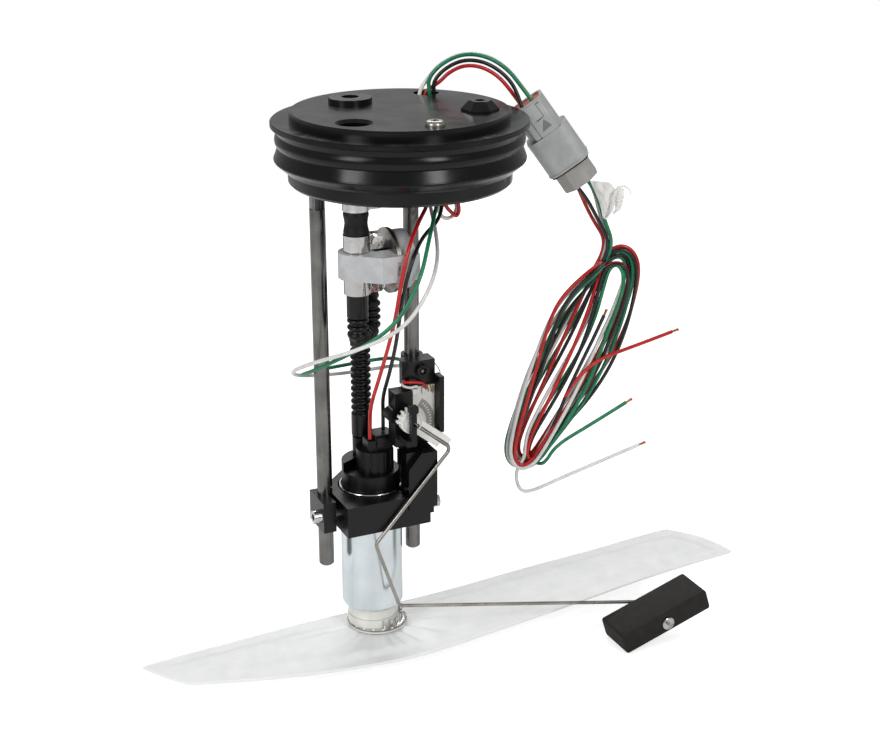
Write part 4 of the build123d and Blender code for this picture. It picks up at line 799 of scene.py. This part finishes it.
# Marker tape on the harness; its lines are (right, up) from its middle, as the camera sees them
tape_centre = (134.3, -12.5, -30.5)
tape_left = ((-10.6, 10.5), (-7.9, 4.8), (-5.2, -1.0), (-3.1, -6.8), (-1.7, -13.2))
tape_right = ((1.2, 9.6), (5.4, 7.2), (5.0, 0.3), (4.4, -6.8), (0.2, -13.9))
tape_flap = ((7.6, 6.8), (10.2, 7.6), (13.0, 6.2), (14.6, 4.6), (15.2, 1.8))
tape_fold_inner = ((7.4, 7.4), (5.2, 3.8), (3.4, -1.6), (3.7, -7.1), (0.6, -12.6))
tape_fold_outer = ((8.8, 6.6), (8.4, 3.2), (7.2, -1.4), (7.6, -6.4), (4.4, -9.8))


def on_tape(right, up, forward=0.0):
    return at(*tape_centre) + side * mm(right) + Vector((0, 0, mm(up))) + toward * mm(forward)


def crumpled_roll(name, path, radius, lift):
    """A strip of tape rolled up on itself along a path on the pouch, in millimetres."""
    around = 20
    points = spline_line([on_tape(x, z, lift) for x, z in path], 9)
    work = bmesh.new()
    rings = []
    for i, point in enumerate(points):
        along = (points[min(i + 1, len(points) - 1)] - points[max(i - 1, 0)]).normalized()
        first = along.cross(toward).normalized()
        second = along.cross(first)
        taper = 0.35 + 0.65 * math.sin(math.pi * min(1.0, 0.08 + i / len(points)))
        ring = []
        for j in range(around):
            angle = 2 * math.pi * j / around
            spot = Vector((i / 3.4, 2.2 * math.cos(angle), 2.2 * math.sin(angle) + radius))
            size = radius * taper * (1.0 + 0.55 * noise.noise(spot))
            ring.append(point + mm(size) * (first * math.cos(angle) + second * math.sin(angle)))
        rings.append(ring)
    skin_rings(work, rings)
    return shade_smooth(mesh_piece(name, work), 50.0)


def make_tape():
    """Crumpled paper tape folded round the white lead: a small pouch with rolled edges and a curled tail."""
    ends, sides = 28, 24
    left, right = [even_points(spline_line([Vector((x, z, 0)) for x, z in edge], ends // 2), ends)
                   for edge in (tape_left, tape_right)]

    def paper_point(face_side, i, j):
        t = j / sides
        flat = left[i].lerp(right[i], t)
        swell = math.sin(math.pi * t) * math.sin(math.pi * min(1.0, 0.12 + i / ends)) * 2.2
        fold = 1.5 * noise.noise(Vector((flat.x / 4.2, flat.y / 3.0, 1.0)))
        fold += 0.7 * noise.noise(Vector((flat.x / 1.6, flat.y / 2.2, 5.0)))
        depth = face_side * (0.15 + swell) + fold * (0.4 + 0.6 * math.sin(math.pi * t))
        return on_tape(flat.x, flat.y, depth)

    work = bmesh.new()
    front = sheet_of(work, ends, sides, lambda i, j: paper_point(1, i, j))
    back = sheet_of(work, ends, sides, lambda i, j: paper_point(-1, i, j))
    seal_sheets(work, front, back)
    tape = dress(shade_smooth(mesh_piece("tape_pouch", work), 40.0), "tape")
    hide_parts("marker_tape")
    dress(bead("tape_flap", spline_line([on_tape(x, z) for x, z in tape_flap], 6), 0.55), "tape")
    dress(crumpled_roll("tape_fold_inner", tape_fold_inner, 1.7, 2.2), "tape")
    dress(crumpled_roll("tape_fold_outer", tape_fold_outer, 2.6, 2.6), "tape")


make_connector()
make_harness()
make_tank_leads()
make_tape()

# Slack of two leads, looped just under the lid
white_slack = ((24.0, 2.0, -21.2), (25.3, 2.0, -28.8), (27.3, 2.0, -34.6), (32.7, 2.0, -36.5),
               (37.3, 2.0, -33.2), (38.0, 2.0, -27.0), (34.6, 2.0, -21.1))
red_slack = ((25.4, -2.0, -21.6), (28.8, -2.0, -27.6), (32.8, -2.0, -31.7), (36.1, -2.0, -34.6),
             (38.1, -2.0, -29.2), (35.4, -2.0, -22.1))


def make_slack():
    dress(smooth_wire("slack_white", white_slack, lead_radius), "white_insulation")
    dress(smooth_wire("slack_red", red_slack, lead_radius), "red_insulation")


make_slack()

# Level sender: tails, terminals, resistor track, hub teeth and rack
pivot = (-7.7, -30.4, -150.5)
card_front = -15.0
red_tail = (
    (-4.6, -13.0, -130.4), (-6.8, -16.2, -130.2), (-4.6, -18.4, -129.9), (-0.1, -18.8, -130.2),
    (5.2, -18.2, -131.5), (8.2, -17.2, -134.6), (8.7, -15.4, -137.2),
)
white_tail = (
    (-5.0, -12.6, -132.4), (-7.6, -15.6, -131.6), (-6.6, -18.2, -132.4), (-2.8, -18.8, -133.7),
    (1.2, -18.0, -133.4), (3.0, -16.6, -134.6), (2.9, -15.3, -136.0),
)
brown_wire = ((15.4, -9.0, -120.6), (17.6, -12.0, -123.6), (20.0, -13.6, -128.6), (18.6, -13.8, -131.0),
              (16.4, -13.4, -133.0))
terminal_wires = {
    "terminal_wire_one": ((9.6, -15.6, -134.4), (10.4, -16.6, -136.4), (10.8, -15.3, -139.0)),
    "terminal_wire_two": ((11.6, -15.6, -134.2), (12.6, -16.8, -136.2), (12.8, -15.3, -139.6)),
    "terminal_wire_three": ((13.4, -15.4, -135.0), (14.2, -16.4, -137.2), (13.6, -15.3, -140.4)),
}
tail_radius = 0.85
track_centre = (-3.8, -158.6)
track_inner = 13.2
track_outer = 18.6
card_edge = 14.7
teeth_middle = -29.9
hub_front = -32.2
rack_start = (-3.4, -30.2, -159.2)
rack_rise_and_run = (-3.3, 7.4)
block_screw = (6.9, -125.3)


def front_place(x, y, z):
    """Put a flat shape drawn in X and Y so that it faces the front, at a place in millimetres."""
    return moved(x, y, z) @ facing_front


def make_sender():
    red = dress(smooth_wire("sender_tail_red", red_tail, tail_radius), "red_insulation")
    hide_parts("sender_tails")
    dress(smooth_wire("sender_tail_white", white_tail, tail_radius), "white_insulation")
    dress(smooth_wire("brown_wire", brown_wire, 0.32), "copper")
    for name, corners in terminal_wires.items():
        wire = dress(smooth_wire(name, corners, 0.3), "terminal_brass")

    # The printed track: an arc of ink, cut off at the card's edge, with a row of bare pads on it
    arc = [math.radians(-16 + 4.0 * k) for k in range(19)]
    outline = [(track_inner * math.cos(a), track_inner * math.sin(a)) for a in arc]
    for a in reversed(arc):
        reach = min(track_outer, (card_edge - track_centre[0]) / max(0.2, math.cos(a)))
        outline.append((reach * math.cos(a), reach * math.sin(a)))
    track_place = front_place(track_centre[0], card_front, track_centre[1])
    track = dress(prism("resistor_track", outline, -0.02, 0.14, track_place, 0.02), "track_ink")
    pad = bevelled_box("pad", (1.5, 0.75, 0.3), unmoved, 0.1, 2)
    ring_of("track_pads", pad, 9, 15.9, -8.0, 62.0, "ceramic",
            front_place(track_centre[0], card_front - 0.2, track_centre[1]))

    # The toothed hub and its rack
    tooth = bevelled_box("tooth", (3.4, 1.6, 3.4), unmoved, 0.25, 2)
    ring_of("hub_teeth", tooth, 5, 7.6, 84.0, 112.0, "white_plastic",
            front_place(pivot[0], teeth_middle, pivot[2]), "float_arm")
    hub_place = front_place(pivot[0], hub_front, pivot[2])
    dome = lathed("pivot_ring", ((1.2, 0.0), (2.5, 0.0), (2.5, 0.5), (2.1, 0.9), (1.5, 0.9), (1.2, 0.6)),
                  hub_place)
    dress(dome, "steel", "float_arm")
    face = lathed("hub_face", ((5.9, 0.0), (6.9, 0.0), (6.9, 0.25), (6.6, 0.5), (6.1, 0.5), (5.9, 0.3)),
                  hub_place)
    dress(face, "white_plastic", "float_arm")
    slope = Matrix.Rotation(-math.atan2(*rack_rise_and_run), 4, "Y")
    cog = bevelled_box("cog", (1.1, 2.4, 1.6), unmoved, 0.2, 2)
    row_of("arm_rack", cog, 6, 1.75, "white_plastic", moved(*rack_start) @ slope, "float_arm")

    ring = lathed("block_screw_ring",
                  ((2.0, 0.0), (3.9, 0.0), (3.9, 0.4), (3.5, 0.8), (2.6, 0.8), (2.0, 0.3)),
                  front_place(block_screw[0], -16.0, block_screw[1]))
    dress(ring, "black_anodised")
    # A small steel disc in the black screw's socket, lighter than the screw: a painted glint.
    glint = lathed("block_screw_painted_glint", ((0.0, 0.0), (1.3, 0.0), (1.1, 0.2), (0.0, 0.25)),
                   front_place(block_screw[0], -15.2, block_screw[1]), 6)
    dress(glint, "rod_steel")


make_sender()

# Ribbed supply hose
port = (-39.5, -26.5)
nipple = (-23.0, 12.0)
hose_middle = (-25.0, -10.0)
hose_low = -95.5
hose_high = -74.0
hose_top = -56.1
hose_end = -171.5
rib_pitch = 4.2
rib_crest = 6.4
rib_valley = 4.9
cuff_top = 24.0
cuff_foot = 13.0
hose_step = 0.42
supply_route = [
    (*port, hose_top), (*port, -70.0), (*port, -84.0), (*port, hose_low),
    (*hose_middle, hose_low), (*hose_middle, -84.8), (*hose_middle, hose_high),
    (*nipple, hose_high), (*nipple, -86.0), (*nipple, -110.0), (*nipple, -140.0), (*nipple, hose_end),
]
hose_sizes = {
    "Rib pitch": mm(rib_pitch), "Crest": mm(rib_crest), "Valley": mm(rib_valley),
    "Cuff top": mm(cuff_top), "Cuff foot": mm(cuff_foot), "Step": mm(hose_step),
}


def hose_tree():
    """Plain cuffs at both ends and rounded ribs between them, swept along the hose's line."""
    tree, size = grown_tree("ribbed_hose", hose_sizes)
    line = output_of(tree, "GeometryNodeResampleCurve", {"mode": "LENGTH"}, Curve=size["Geometry"],
                     Length=size["Step"])
    here = add_node(tree, "GeometryNodeSplineParameter").outputs["Length"]
    whole = add_node(tree, "GeometryNodeSplineLength").outputs["Length"]
    ribs_begin = maths(tree, "SUBTRACT", here, size["Cuff top"])
    phase = maths(tree, "DIVIDE", ribs_begin, size["Rib pitch"])
    turned = maths(tree, "MULTIPLY", phase, 2 * math.pi)
    swell = maths(tree, "MULTIPLY", maths(tree, "COSINE", turned), -0.5)
    capped = maths(tree, "MINIMUM", maths(tree, "MULTIPLY_ADD", swell, 1.35, 0.5), 1.0)
    round_swell = maths(tree, "POWER", capped, 0.7)
    depth = maths(tree, "SUBTRACT", size["Crest"], size["Valley"])
    ribbed = maths(tree, "ADD", size["Valley"], maths(tree, "MULTIPLY", round_swell, depth))
    past_top = maths(tree, "GREATER_THAN", here, size["Cuff top"])
    foot_begins = maths(tree, "SUBTRACT", whole, size["Cuff foot"])
    before_foot = maths(tree, "LESS_THAN", here, foot_begins)
    inside = maths(tree, "MULTIPLY", past_top, before_foot)
    dip = maths(tree, "MULTIPLY", inside, maths(tree, "SUBTRACT", size["Crest"], ribbed))
    radius = maths(tree, "SUBTRACT", size["Crest"], dip)
    profile = output_of(tree, "GeometryNodeCurvePrimitiveCircle", {"mode": "RADIUS"},
                        Resolution=28, Radius=1.0)
    tube = add_node(tree, "GeometryNodeCurveToMesh", Curve=line, Profile_Curve=profile, Scale=radius)
    tube.inputs["Fill Caps"].default_value = True
    end_tree(tree, tube.outputs[0], "nylon_hose")
    return tree


def make_supply_hose():
    path = spline_object("supply_hose_line", [at(*point) for point in supply_route], 0.0)
    hose = grow("supply_hose_ribbed", path, hose_tree(), hose_sizes, "nylon_hose")
    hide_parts("supply_hose")


make_supply_hose()


# Filter sock
sock_low = -306.6
sock_high = -300.2
sock_length = 400.0
sock_rim = 7.0
sock_ramp = 8.0
rim_half = 0.5
puff_above = 1.9
puff_below = 2.5
collar_reach = 21.0
collar_centre = (-19.1, 0.7)
# Its outline on the ground, from the left end to the right: the far edge, the near edge
sock_far_edge = ((-172.0, 11.7), (-150.0, 15.6), (-124.0, 17.6), (-90.0, 19.2), (-40.0, 21.4),
                 (20.0, 22.4), (70.0, 24.6), (120.0, 30.6), (170.0, 35.8), (205.0, 38.6), (226.5, 39.6))
sock_near_edge = ((-151.6, -18.3), (-130.0, -26.5), (-100.0, -35.0), (-60.0, -42.0), (-10.0, -46.6),
                  (30.0, -42.4), (80.0, -33.0), (126.0, -24.6), (170.0, -18.0), (215.0, -11.8), (251.3, -7.6))


def crease(x, y, seed):
    """Height of soft puckers, in millimetres: folds out from the pump's foot, and fine ones across."""
    dx, dy = x - collar_centre[0], y - collar_centre[1]
    far = math.hypot(dx, dy)
    angle = math.atan2(dy, dx)
    fan = noise.noise(Vector((angle * 5.0, far / 60.0, seed))) * math.exp(-((far - 32.0) / 26.0) ** 2)
    long_fold = noise.noise(Vector((x / 60.0, y / 22.0, seed + 1.3)))
    short_fold = noise.noise(Vector((x / 17.0, y / 26.0, seed + 7.3)))
    return 2.4 * fan + 0.55 * long_fold + 0.42 * short_fold


def make_sock():
    """A pouch of two felt layers: puffed and puckered inside, flat and sealed along the rim."""
    ends, sides = 250, 60
    far_edge, near_edge = [even_points(spline_line([Vector((*p, 0)) for p in edge]), ends)
                           for edge in (sock_far_edge, sock_near_edge)]
    middle = (sock_low + sock_high) / 2

    def felt_point(upper, i, j):
        step, t = i / ends, j / sides
        width = (far_edge[i] - near_edge[i]).length
        place = near_edge[i].lerp(far_edge[i], t)
        bow = math.sin(math.pi * t)
        right_bow = 5.5 * bow * max(0.0, (step - 0.8) / 0.2) ** 2
        left_bow = 2.0 * bow * max(0.0, 1 - step / 0.1)
        x, y = place.x + right_bow - left_bow, place.y
        edge = min(t * width, (1 - t) * width, step * sock_length, (1 - step) * sock_length)
        puff = max(0.0, min(1.0, (edge - sock_rim) / sock_ramp))
        puff = puff * puff * (3 - 2 * puff)
        pull = max(0.0, 1.0 - abs(edge - sock_rim - 1.5) / 7.0)
        wave = 0.55 * pull * noise.noise(Vector((x / 9.0, y / 9.0, 4.0)))
        if upper:
            height = rim_half + puff * puff_above + puff * crease(x, y, 2.0) + wave
            near = math.hypot(x - collar_centre[0], y - collar_centre[1])
            height = min(height, sock_high - middle + (0.4 if near < collar_reach else 1.6))
        else:
            height = -rim_half - puff * puff_below
        sag = 0.5 * math.sin(x / 23.0 + 4 * t) * (1 - puff)
        return at(x, y, middle + height + sag)

    work = bmesh.new()
    top = sheet_of(work, ends, sides, lambda i, j: felt_point(True, i, j))
    low = sheet_of(work, ends, sides, lambda i, j: felt_point(False, i, j), -1)
    hem_line = [(top[i][j].co + low[i][j].co) / 2 for i, j in seal_sheets(work, top, low)[::3]]
    sock = dress(shade_smooth(mesh_piece("filter_sock", work), 60.0), "felt")
    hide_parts("strainer_sock")
    hem = dress(bead("sock_hem", hem_line, 0.9, True), "felt_hem")


make_sock()


# Float
float_centre = (154.5, -62.0, -303.5)
float_size = (66.0, 29.0, 14.6)
float_tilt = math.radians(17.7)
float_round = 2.0


def make_float():
    turn = Matrix.Rotation(-float_tilt, 4, "Y")
    block = bevelled_box("foam_float", float_size, moved(*float_centre) @ turn, float_round)
    shade_smooth(block, 60.0)
    dress(block, "foam", "float")
    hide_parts("float_block")


make_float()


# Hose between the clamps, pump rim and turret, strainer foot and the float's push nut
can_centre = (-21.5, 1.8)
turret_centre = (-20.0, -1.2)
clip_middle = (-18.5, -9.7, -170.4)
nut_front = -77.7
upper_hose_profile = (
    (4.4, -40.1), (7.0, -40.1), (7.0, -30.2), (7.5, -29.3), (7.45, -28.0), (7.0, -26.0), (6.7, -23.6),
    (7.0, -21.0), (7.45, -19.0), (7.5, -17.8), (7.0, -16.8), (7.0, -4.8), (4.4, -4.8),
)
can_rim_profile = (
    (18.9, -205.0), (19.6, -205.0), (19.8, -202.2), (20.2, -201.8), (20.0, -201.3), (19.2, -201.3),
    (18.9, -201.9),
)
push_disc_profile = (
    (16.25, -298.3), (19.3, -298.3), (19.4, -298.0), (18.9, -297.6), (17.2, -297.2), (16.25, -297.2),
)


def make_turned_details():
    hose = dress(lathed("upper_hose_swelled", upper_hose_profile, moved(*port, 0), 64, 60.0), "hose_rubber")
    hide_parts("upper_hose")
    dress(lathed("can_rolled_rim", can_rim_profile, moved(*can_centre, 0), 96, 60.0), "bright_steel")
    dress(lathed("strainer_push_disc", push_disc_profile, moved(*collar_centre, 0), 96, 40.0), "bright_steel")
    stud = lathed("stud", ((0.0, -0.3), (0.85, -0.3), (0.85, 0.2), (0.5, 0.5), (0.0, 0.55)), unmoved, 10)
    ring_of("disc_studs", stud, 18, 18.0, 0.0, 360.0, "white_plastic", moved(*collar_centre, -297.3))
    claw = bevelled_box("claw", (0.7, 1.9, 4.6), unmoved, 0.2, 2)
    ring_of("neck_claws", claw, 9, 16.3, -95.0, 150.0, "bright_steel", moved(*collar_centre, -294.6))
    clip = bevelled_box("pump_plug_clip", (6.4, 1.6, 6.8), moved(*clip_middle), 0.5)
    dress(clip, "black_plastic")
    rib = bevelled_box("rib", (1.2, 1.5, 14.0), unmoved, 0.3, 2)
    ring_of("turret_ribs", rib, 8, 11.4, -150.0, 200.0, "black_plastic", moved(*turret_centre, -183.6))
    slit_place = moved(float_centre[0], nut_front - 0.05, float_centre[2])
    slit_turn = Matrix.Rotation(math.radians(35), 4, "Y")
    slit = bevelled_box("push_nut_slit", (5.2, 0.4, 0.7), slit_place @ slit_turn, 0.15, 2)
    dress(slit, "black_plastic", "float_arm")
    lip = lathed("push_nut_lip", ((3.4, 0.0), (4.2, 0.0), (4.2, 0.25), (3.9, 0.45), (3.5, 0.35)),
                 front_place(float_centre[0], nut_front, float_centre[2]))
    dress(lip, "bright_steel", "float_arm")


make_turned_details()


# Floor, world and lamps
floor_height = -320.7
floor_half = 1.25
floor_glow = 0.62
mirrored_floor_glow = 0.12
mirrored_sky = 0.36
sky_light = 0.36
# Each softbox: place, aim, width and height in metres, and watts
softboxes = {
    "left_softbox": ((-1.9, -0.75, 0.95), (0, 0, -0.1), 0.7, 1.3, 18.0),
    "right_softbox": ((0.35, -1.95, 1.05), (0, 0, -0.1), 0.55, 1.2, 17.0),
    "back_softbox": ((0.6, 1.7, 1.4), (0, 0, 0.0), 1.5, 1.0, 20.0),
}


def seen_rays(tree):
    """What kind of ray meets the surface: seen by the camera, straight or through glass, and mirrored."""
    rays = tree.nodes.new("ShaderNodeLightPath").outputs
    return maths(tree, "MAXIMUM", rays["Is Camera Ray"], rays["Is Transmission Ray"]), rays["Is Glossy Ray"]


def make_stage():
    """A pale floor that keeps the object's soft shadow, a white surround, and softboxes at both sides."""
    work = bmesh.new()
    bmesh.ops.create_grid(work, x_segments=1, y_segments=1, size=floor_half)
    bmesh.ops.translate(work, vec=(0, 0, mm(floor_height)), verts=work.verts)
    floor = mesh_piece("floor", work)
    material, tree, shader, _ = new_material("floor_paper_matt")
    shader.inputs["Base Color"].default_value = srgb("#eeeeee")
    shader.inputs["Roughness"].default_value = 0.95
    shader.inputs["Specular IOR Level"].default_value = 0.0
    seen, mirrored = seen_rays(tree)
    strength = maths(tree, "MULTIPLY_ADD", seen, floor_glow,
                     maths(tree, "MULTIPLY", mirrored, mirrored_floor_glow))
    glow = add_node(tree, "ShaderNodeEmission", Color=(1, 1, 1, 1), Strength=strength)
    added = add_node(tree, "ShaderNodeAddShader", i0=shader.outputs[0], i1=glow.outputs[0])
    tree.links.new(added.outputs[0], tree.nodes["Material Output"].inputs["Surface"])
    floor.data.materials.append(material)

    world = bpy.data.worlds.new("studio")
    world.use_nodes = True
    bpy.context.scene.world = world
    tree = world.node_tree
    background = tree.nodes["Background"]
    background.inputs["Color"].default_value = (1, 1, 1, 1)
    seen, mirrored = seen_rays(tree)
    both = maths(tree, "MAXIMUM", seen, maths(tree, "MULTIPLY", mirrored, mirrored_sky))
    tree.links.new(maths(tree, "MAXIMUM", both, sky_light), background.inputs["Strength"])

    for name, (place, aim, width, height, watts) in softboxes.items():
        lamp = scene_object(name, bpy.data.lights.new(name, "AREA"))
        lamp.data.shape = "RECTANGLE"
        lamp.data.size = width
        lamp.data.size_y = height
        lamp.data.energy = watts
        lamp.location = place
        lamp.rotation_euler = (Vector(aim) - Vector(place)).to_track_quat("-Z", "Y").to_euler()


make_stage()
bpy.context.scene.view_settings.view_transform = "Standard"
